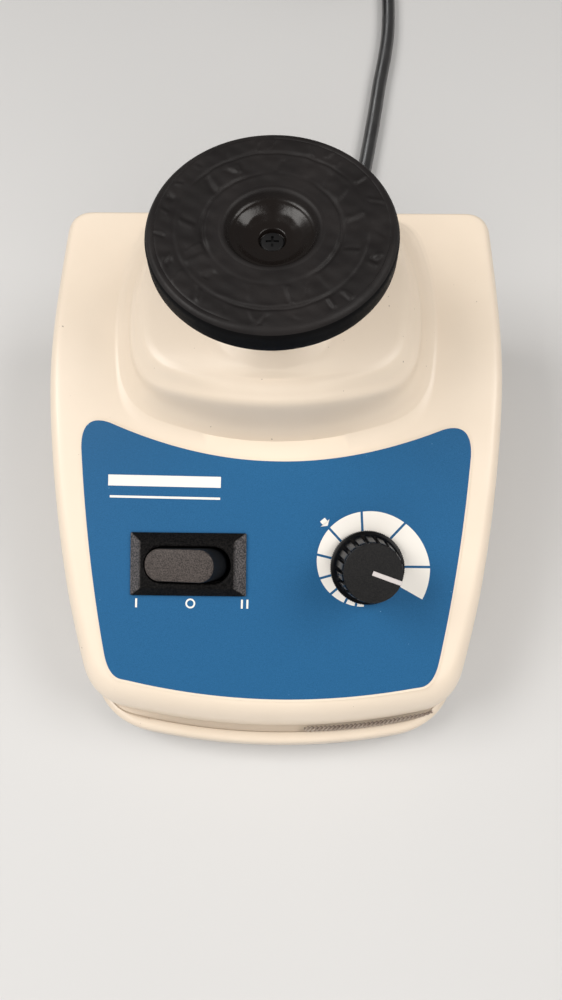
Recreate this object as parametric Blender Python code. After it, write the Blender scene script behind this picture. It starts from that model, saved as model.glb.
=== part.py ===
"""Bench vortex mixer, built the way it comes apart.

A cast base pan and a moulded upper housing meet at a gasketed seam. A sprung carriage inside holds
the motor, whose crank makes the round head orbit. The sloped front panel carries a three-position
rocker switch and a speed knob. Metres, +Z up, the front faces -Y, and the origin is on the bench
under the middle of the body.
"""

import math

import bmesh
import bpy
from mathutils import Matrix, Vector

for old in list(bpy.data.objects):
    bpy.data.objects.remove(old, do_unlink=True)

GAP = 0.0003  # clearance between neighbouring pieces

# Body heights
FOOT_TOP = 0.006
BASE_LEDGE_Z = 0.0174
SEAM_Z = 0.020
PLATEAU_EDGE_Z = 0.106
PLATEAU_Z = 0.108
WALL = 0.003
SKIN_DROP = 0.0032  # height of the wall where the surface is nearly level
NECK_R = 0.0165  # hole in the hump that the head's stem passes through
COLLAR_R = 0.0222  # foot of the raised collar round it

# Sloped panel and rear deck
PANEL_TILT = math.radians(22.6)
PANEL_Y = -0.041
PANEL_Z = 0.0607
DECK_Z = 0.089
DECK_BLEND = 0.004

# Outlines seen from above: half-widths from rear to front, the front edge, how far the front corners
# lie behind it, the rear edge, and the front and rear corner radii
HOUSING = ((0.0852, 0.0862, 0.0867, 0.0688), -0.0936, 0.0088, 0.1002, 0.010, 0.010)
DECK_EDGE = ((0.0807, 0.0817, 0.0822, 0.0640), -0.0870, 0.0095, 0.0968, 0.008, 0.007)
HUMP_FOOT = ((0.0520, 0.0633, 0.0602, 0.0560), 0.0008, 0.0117, 0.0945, 0.014, 0.010)
HUMP_TOP = ((0.0375, 0.0470, 0.0475, 0.0420), 0.0103, 0.0080, 0.0870, 0.010, 0.008)
BASE = ((0.0850, 0.0860, 0.0860, 0.0700), -0.1000, 0.0085, 0.1005, 0.017, 0.012)
HUMP_FRONT = ((0.25, 0.03), (0.50, 0.11), (0.75, 0.25), (0.81, 0.70), (0.92, 0.89), (1.0, 1.0))  # out, fall
HUMP_SIDE = ((0.12, 0.08), (0.28, 0.35), (0.39, 0.50), (0.48, 0.65), (0.73, 0.88), (1.0, 1.0))
OUTLINE_STEPS = (5, 4, 8, 4, 3)  # points along the front, corner, side, corner and rear of one half

# Motor and head
MOTOR_Y = 0.0340
ORBIT = 0.0015
HEAD_Y = MOTOR_Y + ORBIT
HEAD_TOP = 0.150
HEAD_R = 0.0381
SHAFT_R = 0.004
RUN = 0.0003  # radial running clearance

# Inside the base: floor, carriage plate with its guides, board
BASE_FLOOR_Z = 0.0100
POST_SEAT_Z = 0.0125
PLATE_Z = (0.0280, 0.0310)
GUIDE_PLACES = [(-0.043, 0.073), (0.043, 0.073), (0.0, -0.0065)]
BOARD_Z = 0.0160
BOARD_POSTS = [(x, y) for x in (-0.036, 0.036) for y in (-0.073, -0.037)]

# Motor: iron stack, bore, brackets and the bolts that hold them together
STACK_Z = (0.0400, 0.0680)
STACK_Y = (0.0065, 0.0845)
BORE_R = 0.0215
AIR_GAP = 0.0008
BRACKET_Z = (0.0740, 0.0770)
BRACKET_LOW_Z = (0.0313, 0.0343)
LEG_X = (0.0225, 0.0300)
BOLT_X = (-0.02625, 0.02625)

# Panel controls, as places along X at the panel's row
KNOB_X = 0.0341
KNOB_UP = -0.0002
SWITCH_X = -0.0309
ROCKER_TILT = math.radians(13)
POINTER_ANGLE = math.radians(-19.4)

# Power cord
CORD_R = 0.004
CORD_EXIT = Vector((0.0325, 0.1008, 0.030))
RELIEF_LENGTH = 0.026
COIL_CENTRE = Vector((0.0201, 0.4080, 0))
COIL_RADII = (0.036, 0.044)
COIL_LAYERS = 3
CORD_ROUTE = (
    (0.0325, 0.1277, 0.0299), (0.0328, 0.1340, 0.0291), (0.0335, 0.1420, 0.0266),
    (0.0345, 0.1510, 0.0219), (0.0359, 0.1610, 0.0162), (0.0377, 0.1715, 0.0109),
    (0.0397, 0.1820, 0.0073), (0.0420, 0.1930, 0.0052), (0.0443, 0.2040, 0.0043),
    (0.0480, 0.2250, 0.0041), (0.0520, 0.2496, 0.0041), (0.0559, 0.2756, 0.0041),
    (0.0597, 0.2976, 0.0041), (0.0626, 0.3196, 0.0041), (0.0639, 0.3440, 0.0041),
    (0.0641, 0.3640, 0.0041), (0.0641, 0.3807, 0.0041),
)
TAIL_ROUTE = (
    (0.0641, 0.4356, 0.0194), (0.0645, 0.4450, 0.0174), (0.0652, 0.4550, 0.0144),
    (0.0662, 0.4640, 0.0117), (0.0674, 0.4716, 0.0110),
)
PLUG_ANGLE = math.radians(-9)  # from +Y, seen from above


# ---------------------------------------------------------------- helpers


def material(name, colour, roughness, metallic=0.0):
    made = bpy.data.materials.new(name)
    made.use_nodes = True
    shader = made.node_tree.nodes["Principled BSDF"]
    shader.inputs["Base Color"].default_value = (*colour, 1)
    shader.inputs["Roughness"].default_value = roughness
    shader.inputs["Metallic"].default_value = metallic
    made.diffuse_color = (*colour, 1)
    return made


CREAM = material("cream_plastic", (0.83, 0.75, 0.66), 0.42)
BLUE = material("blue_overlay", (0.030, 0.150, 0.330), 0.50)
BLACK = material("black_plastic", (0.012, 0.012, 0.013), 0.45)
ROCKER_GREY = material("dark_grey_plastic", (0.085, 0.075, 0.068), 0.55)
RUBBER = material("black_rubber", (0.028, 0.026, 0.025), 0.70)
WHITE = material("white_ink", (0.85, 0.84, 0.80), 0.50)
GASKET = material("grey_gasket", (0.20, 0.17, 0.145), 0.60)
IRON = material("laminated_iron", (0.23, 0.23, 0.24), 0.50, 1.0)
STEEL = material("steel", (0.55, 0.55, 0.56), 0.30, 1.0)
ALUMINIUM = material("aluminium", (0.70, 0.70, 0.72), 0.35, 1.0)
COPPER = material("copper_winding", (0.48, 0.17, 0.06), 0.40, 1.0)
BRASS = material("brass", (0.65, 0.47, 0.18), 0.30, 1.0)
GREEN = material("circuit_board", (0.02, 0.16, 0.06), 0.50)
CAPACITOR = material("capacitor_case", (0.50, 0.36, 0.06), 0.45)


def add_node(name, mesh, finish, parent=None, sharp=0.6):
    made = bpy.data.objects.new(name, mesh)
    bpy.context.scene.collection.objects.link(made)
    mesh.materials.append(finish)
    mesh.shade_smooth()
    mesh.set_sharp_from_angle(angle=sharp)
    made.parent = parent
    return made


def mesh_of(shape):
    bmesh.ops.recalc_face_normals(shape, faces=shape.faces)
    mesh = bpy.data.meshes.new("shape")
    shape.to_mesh(mesh)
    shape.free()
    return mesh


def loft(rings, loop=False):
    """A closed solid through rings of points. Its ends are capped, or meet when it is a loop."""
    shape = bmesh.new()
    made = []
    for ring in rings:
        on_axis = all((Vector(p) - Vector(ring[0])).length < 1e-7 for p in ring)
        made.append([shape.verts.new(p) for p in (ring[:1] if on_axis else ring)])
    pairs = list(zip(made, made[1:] + made[:1])) if loop else list(zip(made, made[1:]))
    for low, high in pairs:
        count = max(len(low), len(high))
        for i in range(count):
            j = (i + 1) % count
            if len(low) == 1:
                corners = (low[0], high[j], high[i])
            elif len(high) == 1:
                corners = (low[i], low[j], high[0])
            else:
                corners = (low[i], low[j], high[j], high[i])
            shape.faces.new(corners)
    if not loop:
        for end in (made[0], made[-1]):
            if len(end) > 2:
                shape.faces.new(end)
    return mesh_of(shape)


def circle(radius, z, count, centre=(0, 0), start=0.0):
    step = 2 * math.pi / count
    return [
        (centre[0] + radius * math.cos(start + i * step), centre[1] + radius * math.sin(start + i * step), z)
        for i in range(count)
    ]


def turned(profile, count, loop=False, centre=(0, 0)):
    """A profile of (radius, z) points turned about a vertical axis."""
    return loft([circle(r, z, count, centre) for r, z in profile], loop)


def ring_solid(inner, outer, low, high, count, centre=(0, 0)):
    return turned([(outer, low), (outer, high), (inner, high), (inner, low)], count, True, centre)


def prism(points, low, high):
    """Points (x, y) extruded from z low to z high."""
    return loft([[(x, y, low) for x, y in points], [(x, y, high) for x, y in points]])


def box(low, high):
    (x0, y0, z0), (x1, y1, z1) = low, high
    return prism([(x0, y0), (x1, y0), (x1, y1), (x0, y1)], z0, z1)


def moved(mesh, matrix):
    mesh.transform(matrix)
    return mesh


def obround(half_length, half_width, z, arc_steps=6):
    """A slot outline with round ends along X."""
    straight = half_length - half_width
    right = [
        (
            straight + half_width * math.cos(a * math.pi / arc_steps - math.pi / 2),
            half_width * math.sin(a * math.pi / arc_steps - math.pi / 2),
            z,
        )
        for a in range(arc_steps + 1)
    ]
    return right + [(-x, -y, z) for x, y, z in right]


def boolean(target, meshes, operation="DIFFERENCE"):
    """Cuts closed meshes, in the target's own coordinates, from it, or joins them to it."""
    for index, mesh in enumerate(meshes):
        helper = bpy.data.objects.new(f"{target.name}_{operation.lower()}_{index}", mesh)
        bpy.context.scene.collection.objects.link(helper)
        helper.hide_render = True
        helper.display_type = "WIRE"
        helper.parent = target.parent
        modifier = target.modifiers.new(helper.name, "BOOLEAN")
        modifier.object = helper
        modifier.operation = operation
        modifier.solver = "EXACT"


def empty(name, place, rotation=None):
    made = bpy.data.objects.new(name, None)
    bpy.context.scene.collection.objects.link(made)
    made.empty_display_size = 0.01
    made.matrix_world = Matrix.Translation(place) @ (rotation or Matrix())
    return made


# ---------------------------------------------------------------- body surfaces


def deck_height(y):
    """The sloped panel, which runs smoothly into the flat rear deck."""
    panel = PANEL_Z + math.tan(PANEL_TILT) * (y - PANEL_Y)
    low = min(panel, DECK_Z)
    spread = math.exp(-(panel - low) / DECK_BLEND) + math.exp(-(DECK_Z - low) / DECK_BLEND)
    return low - DECK_BLEND * math.log(spread)


def bezier(points, t):
    while len(points) > 1:
        points = [a.lerp(b, t) for a, b in zip(points, points[1:])]
    return points[0]


def outline(shape, inset=0.0):
    """Points (x, y) round one of the body outlines, anticlockwise from the middle of the front."""
    widths, front, bow, rear, front_radius, rear_radius = shape
    widths = [w - inset for w in widths]
    front, rear = front + inset, rear - inset
    front_radius, rear_radius = (max(r - inset / 2, 0.002) for r in (front_radius, rear_radius))
    corner = Vector((widths[3], front + bow))
    depth = rear - corner.y
    side = [Vector((w, rear - depth * k / 3)) for k, w in enumerate(widths)][::-1]
    front_end = widths[3] - front_radius

    def on_front(x):
        return Vector((x, front + bow * (x / widths[3]) ** 2))

    side_start, side_end = front_radius / depth, 1 - rear_radius / depth
    front_fillet = [on_front(front_end), corner, bezier(side, side_start)]
    rear_fillet = [bezier(side, side_end), Vector((widths[0], rear)), Vector((widths[0] - rear_radius, rear))]
    steps = OUTLINE_STEPS
    half = [on_front(front_end * i / steps[0]) for i in range(steps[0])]
    half += [bezier(front_fillet, i / steps[1]) for i in range(steps[1])]
    half += [
        bezier(side, side_start + (side_end - side_start) * i / steps[2]) for i in range(steps[2])
    ]
    half += [bezier(rear_fillet, i / steps[3]) for i in range(steps[3])]
    half += [rear_fillet[2].lerp(Vector((0, rear)), i / steps[4]) for i in range(steps[4] + 1)]
    return half + [Vector((-p.x, p.y)) for p in half[-2:0:-1]]


def between(first, second, t):
    return [a.lerp(b, t) for a, b in zip(first, second)]


def neck_ring(radius, guide):
    centre = Vector((0, MOTOR_Y))
    return [centre + radius * (p - centre).normalized() for p in guide]


def shoulder_depth(y):
    """How far the rounded shoulder drops: more where it rolls over the front edge."""
    return 0.008 + 0.006 * min(max((-0.05 - y) / 0.04, 0), 1)


def skin(inset, lower, fine):
    """Rings of one side of the housing wall: the hump is steep in front and gentle where it is wide."""
    top, foot = outline(HUMP_TOP, inset), outline(HUMP_FOOT, inset)
    deck, rim = outline(DECK_EDGE, inset), outline(HOUSING, inset)
    collar = [(NECK_R, PLATEAU_Z + 0.0016), (0.0174, PLATEAU_Z + 0.0014), (0.0186, PLATEAU_Z + 0.0004)]
    lip = collar if fine else [(NECK_R, PLATEAU_Z)]
    rings = [[(p.x, p.y, z - lower) for p in neck_ring(r, top)] for r, z in [*lip, (COLLAR_R, PLATEAU_Z)]]
    plateau = neck_ring(COLLAR_R, top)
    for t in (0.45, 0.8, 1.0) if fine else (1.0,):
        z = PLATEAU_Z - (PLATEAU_Z - PLATEAU_EDGE_Z) * t**2 - lower
        rings.append([(p.x, p.y, z) for p in between(plateau, top, t)])
    for step in (0, 1, 2, 3, 4) if fine else (1, 2, 3):
        ring = []
        for p, q in zip(top, foot):
            share = min(max(((q - p).length - 0.010) / 0.006, 0), 1)
            out, fall = (a + (b - a) * share for a, b in zip(HUMP_FRONT[step], HUMP_SIDE[step]))
            place = p.lerp(q, out)
            z = PLATEAU_EDGE_Z + (deck_height(place.y) - PLATEAU_EDGE_Z) * fall - lower
            ring.append((place.x, place.y, z))
        rings.append(ring)
    for t in (0.0, 0.2, 0.45, 0.7, 1.0) if fine else (0.0, 0.35, 0.7, 1.0):
        rings.append([(p.x, p.y, deck_height(p.y) - lower) for p in between(foot, deck, t)])
    for degrees in (30, 60, 90) if fine else (45, 90):
        out, fall = math.sin(math.radians(degrees)), 1 - math.cos(math.radians(degrees))
        rings.append([
            (p.x, p.y, deck_height(p.y) - shoulder_depth(p.y) * fall - lower)
            for p in between(deck, rim, out)
        ])
    rings.append([(p.x, p.y, SEAM_Z) for p in rim])
    return rings


# ---------------------------------------------------------------- frames of the panel controls

PANEL_TURN = Matrix.Rotation(PANEL_TILT, 4, "X")


def on_panel(x, up=0.0):
    """A place on the panel's surface, up being the distance up the slope from the controls' row."""
    return Vector((x, PANEL_Y + up * math.cos(PANEL_TILT), PANEL_Z + up * math.sin(PANEL_TILT)))


SWITCH_FRAME = Matrix.Translation(on_panel(SWITCH_X)) @ PANEL_TURN
KNOB_FRAME = Matrix.Translation(on_panel(KNOB_X, KNOB_UP)) @ PANEL_TURN
RELIEF_TURN = Matrix.Rotation(math.radians(-90), 4, "X")
RELIEF_FRAME = Matrix.Translation(CORD_EXIT) @ RELIEF_TURN


# ---------------------------------------------------------------- enclosure

SCREW_PLACES = [(-0.050, -0.066), (0.050, -0.066), (-0.070, 0.078), (0.070, 0.078)]
FOOT_PLACES = [(-0.052, -0.082), (0.052, -0.082), (-0.068, 0.058), (0.068, 0.058)]
SWITCH_HOLE = (0.0187, 0.0091)  # half-length and half-width of the panel cut-out
SCREW_R = 0.002


def make_housing():
    outer, inner = skin(0.0, 0.0, True), skin(WALL, SKIN_DROP, False)
    housing = add_node("upper_housing", loft(outer + inner[::-1], loop=True), CREAM, sharp=0.9)
    bosses = [
        turned([(0.0045, SEAM_Z + 0.002), (0.0045, deck_height(y) - 0.0015)], 12, centre=(x, y))
        for x, y in SCREW_PLACES
    ]
    boolean(housing, bosses, "UNION")
    sockets = [
        turned([(SCREW_R + GAP, SEAM_Z), (SCREW_R + GAP, SEAM_Z + 0.014)], 8, centre=(x, y))
        for x, y in SCREW_PLACES
    ]
    x, y = SWITCH_HOLE
    switch_hole = moved(box((-x, -y, -0.010), (x, y, 0.006)), SWITCH_FRAME)
    pot_hole = moved(turned([(0.0040, -0.010), (0.0040, 0.006)], 16), KNOB_FRAME)
    cord_hole = moved(turned([(0.0070, -0.012), (0.0070, 0.006)], 16), RELIEF_FRAME)
    boolean(housing, [*sockets, switch_hole, pot_hole, cord_hole])


def make_base():
    low, high = FOOT_TOP, BASE_LEDGE_Z
    rings = [
        [(p.x, p.y, low) for p in outline(BASE, 0.0025)],
        [(p.x, p.y, low + 0.0025) for p in outline(BASE)],
        [(p.x, p.y, high - 0.003) for p in outline(BASE)],
        [(p.x, p.y, high - 0.0008) for p in outline(BASE, 0.0012)],
        [(p.x, p.y, high) for p in outline(BASE, 0.0035)],
        [(p.x, p.y, high) for p in outline(HOUSING, WALL + 0.0008)],
        [(p.x, p.y, high + 0.006) for p in outline(HOUSING, WALL + 0.0008)],
        [(p.x, p.y, high + 0.006) for p in outline(HOUSING, WALL + 0.0038)],
        [(p.x, p.y, BASE_FLOOR_Z) for p in outline(HOUSING, WALL + 0.0038)],
    ]
    base = add_node("base_pan", loft(rings), CREAM, sharp=0.7)
    posts = [
        turned([(0.0045, BASE_FLOOR_Z - 0.002), (0.0045, SEAM_Z + 0.0015)], 12, centre=place)
        for place in SCREW_PLACES
    ]
    posts += [
        turned([(0.006, BASE_FLOOR_Z - 0.002), (0.006, POST_SEAT_Z)], 12, centre=place)
        for place in GUIDE_PLACES
    ]
    posts += [
        turned([(0.003, BASE_FLOOR_Z - 0.002), (0.003, BOARD_Z - GAP)], 8, centre=place)
        for place in BOARD_POSTS
    ]
    boolean(base, posts, "UNION")
    holes = []
    for place in SCREW_PLACES:
        holes.append(turned([(SCREW_R + GAP, 0), (SCREW_R + GAP, 0.030)], 8, centre=place))
        holes.append(turned([(0.0040, 0), (0.0040, FOOT_TOP + 0.0032)], 12, centre=place))
    holes += [turned([(0.0033, 0), (0.0033, 0.0092)], 10, centre=place) for place in FOOT_PLACES]
    holes += [turned([(0.0023, 0.0122), (0.0023, 0.020)], 8, centre=place) for place in GUIDE_PLACES]
    boolean(base, holes)


def make_gasket():
    """A ribbed cord seal in the seam. Along the front right it has worked out onto the ledge."""
    path = outline(HOUSING, 0.0016)
    middle = (BASE_LEDGE_Z + SEAM_Z) / 2
    section = ((-0.0010, -0.00085), (0.0010, -0.00085), (0.0011, 0), (0.0010, 0.00085), (-0.0010, 0.00085))
    rings = []
    for index, point in enumerate(path):
        before, after = path[index - 1], path[(index + 1) % len(path)]
        along = (after - before).normalized()
        out = Vector((along.y, -along.x))
        bulge = 0.0
        if point.y < -0.05 and 0.006 < point.x < 0.066:
            bulge = 0.0034 * math.sin(math.pi * (point.x - 0.006) / 0.060) ** 0.5
        centre = point + out * bulge
        rings.append([
            (centre.x + out.x * x, centre.y + out.y * x, middle + z)
            for x, z in section
        ])
    add_node("seam_gasket", loft(rings, loop=True), GASKET)


def make_feet():
    profile = [
        (0.0072, 0.0), (0.0082, 0.0012), (0.0082, 0.0045), (0.0070, FOOT_TOP - GAP),
        (0.0030, FOOT_TOP - GAP), (0.0030, 0.0088),
    ]
    for index, place in enumerate(FOOT_PLACES):
        add_node(f"rubber_foot_{index + 1}", turned(profile, 16, centre=place), RUBBER)


def make_base_screws():
    profile = [
        (0.0036, FOOT_TOP + 0.0006), (0.0036, FOOT_TOP + 0.0028), (SCREW_R, FOOT_TOP + 0.0028),
        (SCREW_R, SEAM_Z + 0.0120),
    ]
    for index, place in enumerate(SCREW_PLACES):
        add_node(f"base_screw_{index + 1}", turned(profile, 8, centre=place), STEEL)


def make_overlay():
    """The blue panel sheet: sides that narrow to the front, a bowed lower edge, a dished upper edge."""
    low, high = -0.0866, -0.0801  # lower edge's middle and its corners
    corner_x, bow_end = 0.0605, 0.0560
    steps = 8
    half = [
        Vector((bow_end * i / steps, low + (high - low) * (bow_end * i / steps / corner_x) ** 2))
        for i in range(steps)
    ]
    lower = [Vector((bow_end, high - 0.0010)), Vector((corner_x, high)), Vector((0.0622, -0.0730))]
    half += [bezier(lower, i / 4) for i in range(4)]
    side = [Vector((0.0622, -0.0730)), Vector((0.0690, -0.0400)), Vector((0.0712, -0.0030))]
    half += [bezier(side, i / 6) for i in range(6)]
    lobe = [Vector((0.0712, -0.0030)), Vector((0.0716, 0.0090)), Vector((0.0610, 0.0058))]
    half += [bezier(lobe, i / 5) for i in range(5)]
    dish = [Vector((0.0610, 0.0058)), Vector((0.0300, -0.0063)), Vector((0.0, -0.0062))]
    half += [bezier(dish, i / steps) for i in range(steps + 1)]
    edge = half + [Vector((-p.x, p.y)) for p in half[-2:0:-1]]
    middle = Vector((0.0, -0.040))
    rings = []
    for lift, sizes in ((GAP, (0.02, 0.4, 0.7, 1.0)), (GAP + 0.0004, (1.0, 0.7, 0.4, 0.02))):
        for size in sizes:
            points = [middle + (p - middle) * size for p in edge]
            rings.append([(p.x, p.y, deck_height(p.y) + lift) for p in points])
    overlay = add_node("panel_overlay", loft(rings), BLUE)
    x, y = SWITCH_HOLE
    boolean(overlay, [
        moved(box((-x, -y, -0.004), (x, y, 0.004)), SWITCH_FRAME),
        moved(turned([(0.0040, -0.004), (0.0040, 0.004)], 16), KNOB_FRAME),
    ])


# ---------------------------------------------------------------- switch

BEZEL_HALF = (0.02115, 0.0115)
BEZEL_TOP = 0.0050
BEZEL_CHAMFER = 0.0023
OPENING_HALF = (0.01575, 0.00665)
OVERLAY_TOP = 0.0009
PIVOT_Z = -0.0040


def make_switch():
    frame = empty("switch_frame", (0, 0, 0))
    frame.matrix_world = SWITCH_FRAME
    (x, y), top = BEZEL_HALF, BEZEL_TOP

    def rectangle(inset, z):
        return [(-x + inset, -y + inset, z), (x - inset, -y + inset, z),
                (x - inset, y - inset, z), (-x + inset, y - inset, z)]

    bezel = add_node(
        "switch_bezel",
        loft([rectangle(0, OVERLAY_TOP), rectangle(0, 0.0016), rectangle(BEZEL_CHAMFER, top)]),
        BLACK,
        frame,
    )
    boolean(bezel, [loft([obround(*OPENING_HALF, -0.002), obround(*OPENING_HALF, 0.008)])])
    hole_x, hole_y = SWITCH_HOLE
    case_x, case_y = hole_x - GAP, hole_y - GAP
    case = box((-case_x, -case_y, -0.0200), (case_x, case_y, OVERLAY_TOP - GAP))
    body = add_node("switch_body", case, BLACK, frame)
    boolean(body, [loft([obround(*OPENING_HALF, -0.0125), obround(*OPENING_HALF, 0.008)])])
    tabs = [box((x - 0.0024, -0.0004, -0.0290), (x + 0.0024, 0.0004, -0.0190)) for x in (-0.011, 0, 0.011)]
    boolean(body, tabs, "UNION")
    pivot = empty("rocker_axis", (0, 0, 0))
    lean = Matrix.Rotation(-ROCKER_TILT, 4, "Y")
    pivot.matrix_world = SWITCH_FRAME @ Matrix.Translation((0, 0, PIVOT_Z)) @ lean
    levels = ((0.0110, 0.0058, -0.0050), (0.0146, 0.0060, 0.0), (0.0150, 0.0060, 0.0030),
              (0.0144, 0.0060, 0.0065), (0.0136, 0.0060, 0.0095), (0.0132, 0.0059, 0.0114),
              (0.0127, 0.0054, 0.0120))
    add_node("rocker", loft([obround(*level) for level in levels]), ROCKER_GREY, pivot)


# ---------------------------------------------------------------- speed control

KNOB_LOW = 0.0020


def make_speed_control():
    frame = empty("pot_frame", (0, 0, 0))
    frame.matrix_world = KNOB_FRAME
    under = -0.0036
    can = turned([(0.0085, under - 0.0100), (0.0085, under - 0.0006), (0.0080, under)], 20)
    boolean(add_node("pot_body", can, STEEL, frame), [turned([(0.0033, -0.0090), (0.0033, 0.001)], 12)])
    add_node("pot_bushing", ring_solid(0.00335, 0.0037, under + GAP, 0.0045, 12), BRASS, frame)
    low, high = OVERLAY_TOP, OVERLAY_TOP + 0.0018
    across_flats = 0.0064 * math.cos(math.radians(30))
    points = zip(circle(0.0064, 0, 12), circle(across_flats, 0, 12))
    hexagon = [pair[index % 2] for index, pair in enumerate(points)]
    nut = [[(x, y, z) for x, y, _ in hexagon] for z in (low, high)]
    add_node("pot_nut", loft(nut + [circle(0.0041, z, 12) for z in (high, low)], loop=True), STEEL, frame)
    axis = empty("knob_axis", (0, 0, 0))
    axis.matrix_world = KNOB_FRAME
    add_node("pot_shaft", turned([(0.0029, -0.0085), (0.0029, 0.0180)], 12), STEEL, axis)
    flutes, low = 20, KNOB_LOW
    count = flutes * 2

    def fluted(radius, depth, z):
        pairs = zip(circle(radius, z, count), circle(radius - depth, z, count))
        return [pair[index % 2] for index, pair in enumerate(pairs)]

    steps = ((0.0064, low), (0.0064, 0.0075), (0.0032, 0.0076), (0.0032, 0.0186))
    hollow = [fluted(r, 0, z) for r, z in steps]
    rings = hollow[::-1] + [
        fluted(0.0130, 0, low), fluted(0.0134, 0, low + 0.0010), fluted(0.0134, 0, low + 0.0030),
        fluted(0.0114, 0.0008, low + 0.0046), fluted(0.0104, 0.0010, 0.0220), fluted(0.0099, 0.0002, 0.0232),
        fluted(0.0087, 0, 0.0232), fluted(0.0087, 0, 0.0224),
    ]
    centre = (0.0, 0.0, 0.0224)
    roof = (0.0, 0.0, 0.0186)
    add_node("knob_body", loft([[roof] * count] + rings + [[centre] * count]), BLACK, axis)
    disc = turned([(0.0083, 0.0227), (0.0083, 0.0239), (0.0078, 0.0244)], 32)
    cap = add_node("knob_cap", disc, BLACK, axis)
    line = Matrix.Rotation(POINTER_ANGLE, 4, "Z")
    boolean(cap, [moved(box((-0.0010, -0.0009, 0.0235), (0.012, 0.0009, 0.026)), line)])
    bar = box((-0.0006, -0.0006, 0.0238), (0.0080, 0.0006, 0.0247))
    add_node("knob_pointer", moved(bar, line), WHITE, axis)


# ---------------------------------------------------------------- carriage, motor and springs


def make_guides():
    post = [
        (0.0020, 0.0125), (0.0020, POST_SEAT_Z + GAP), (0.0030, POST_SEAT_Z + GAP),
        (0.0030, PLATE_Z[1] + GAP), (0.0060, PLATE_Z[1] + GAP), (0.0060, PLATE_Z[1] + 0.0035),
    ]
    low, high = POST_SEAT_Z + 0.0008, PLATE_Z[0] - GAP
    turns, steps, sides = 4, 9, 5
    mean, wire = 0.0049, 0.0006
    for index, (x, y) in enumerate(GUIDE_PLACES):
        add_node(f"guide_post_{index + 1}", turned(post, 12, centre=(x, y)), STEEL)
        rings = []
        for step in range(turns * steps + 1):
            angle = 2 * math.pi * step / steps
            middle_z = low + wire + (high - low - 2 * wire) * step / (turns * steps)
            out = Vector((math.cos(angle), math.sin(angle), 0))
            centre = Vector((x, y, middle_z)) + out * mean
            rings.append([
                centre + wire * (out * math.cos(a) + Vector((0, 0, math.sin(a))))
                for a in (2 * math.pi * k / sides + 0.3 for k in range(sides))
            ])
        add_node(f"touch_spring_{index + 1}", loft(rings), STEEL)


def make_motor(carriage):
    def centred(mesh):
        return moved(mesh, Matrix.Translation((0, MOTOR_Y, 0)))

    sheet = box((-0.052, -0.015, PLATE_Z[0]), (0.052, 0.083, PLATE_Z[1]))
    plate = add_node("motor_plate", sheet, STEEL, carriage)
    holes = [turned([(0.0036, 0.02), (0.0036, 0.04)], 12, centre=place) for place in GUIDE_PLACES]
    boolean(plate, [*holes, centred(turned([(0.0110, 0.02), (0.0110, 0.04)], 20))])
    low, high = STACK_Z
    block = box((-LEG_X[1], STACK_Y[0], low), (LEG_X[1], STACK_Y[1], high))
    stack = add_node("stator_core", block, IRON, carriage)
    bore = centred(turned([(BORE_R, 0.03), (BORE_R, 0.08)], 32))
    window = box((-0.0205, 0.0610, 0.03), (0.0205, 0.0700, 0.08))
    bolts = [turned([(0.0021, 0.03), (0.0021, 0.09)], 8, centre=(x, MOTOR_Y)) for x in BOLT_X]
    boolean(stack, [bore, window, *bolts])
    winding = box((-0.0198, 0.0617, 0.0335), (0.0198, 0.0925, 0.0745))
    coil = add_node("field_coil", winding, COPPER, carriage)
    boolean(coil, [box((-0.03, 0.0697, low - GAP), (0.03, STACK_Y[1] + GAP, high + GAP))])
    x_in, x_out = LEG_X
    for name, inner, under, outer in (
        ("motor_bracket_top", high + GAP, *BRACKET_Z),
        ("motor_bracket_bottom", low - GAP, *BRACKET_LOW_Z[::-1]),
    ):
        profile = [(-x_out, inner), (-x_out, outer), (x_out, outer), (x_out, inner),
                   (x_in, inner), (x_in, under), (-x_in, under), (-x_in, inner)]
        rings = [[(x, MOTOR_Y + y, z) for x, z in profile] for y in (-0.0125, 0.0125)]
        bracket = add_node(name, loft(rings), ALUMINIUM, carriage)
        holes = [turned([(0.0021, 0.02), (0.0021, 0.10)], 8, centre=(x, MOTOR_Y)) for x in BOLT_X]
        boolean(bracket, [centred(turned([(0.0100, 0.02), (0.0100, 0.09)], 24)), *holes])
    for name, seat in (("bearing_top", BRACKET_Z), ("bearing_bottom", BRACKET_LOW_Z)):
        bearing = ring_solid(SHAFT_R + RUN, 0.0097, seat[0] + 0.0002, seat[1] + 0.0025, 24)
        add_node(name, centred(bearing), BRASS, carriage)
    for index, x in enumerate(BOLT_X):
        profile = [(0.0018, 0.0316), (0.0018, BRACKET_Z[1] + GAP), (0.0034, BRACKET_Z[1] + GAP),
                   (0.0034, BRACKET_Z[1] + 0.0025)]
        add_node(f"motor_bolt_{index + 1}", turned(profile, 8, centre=(x, MOTOR_Y)), STEEL, carriage)


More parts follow.
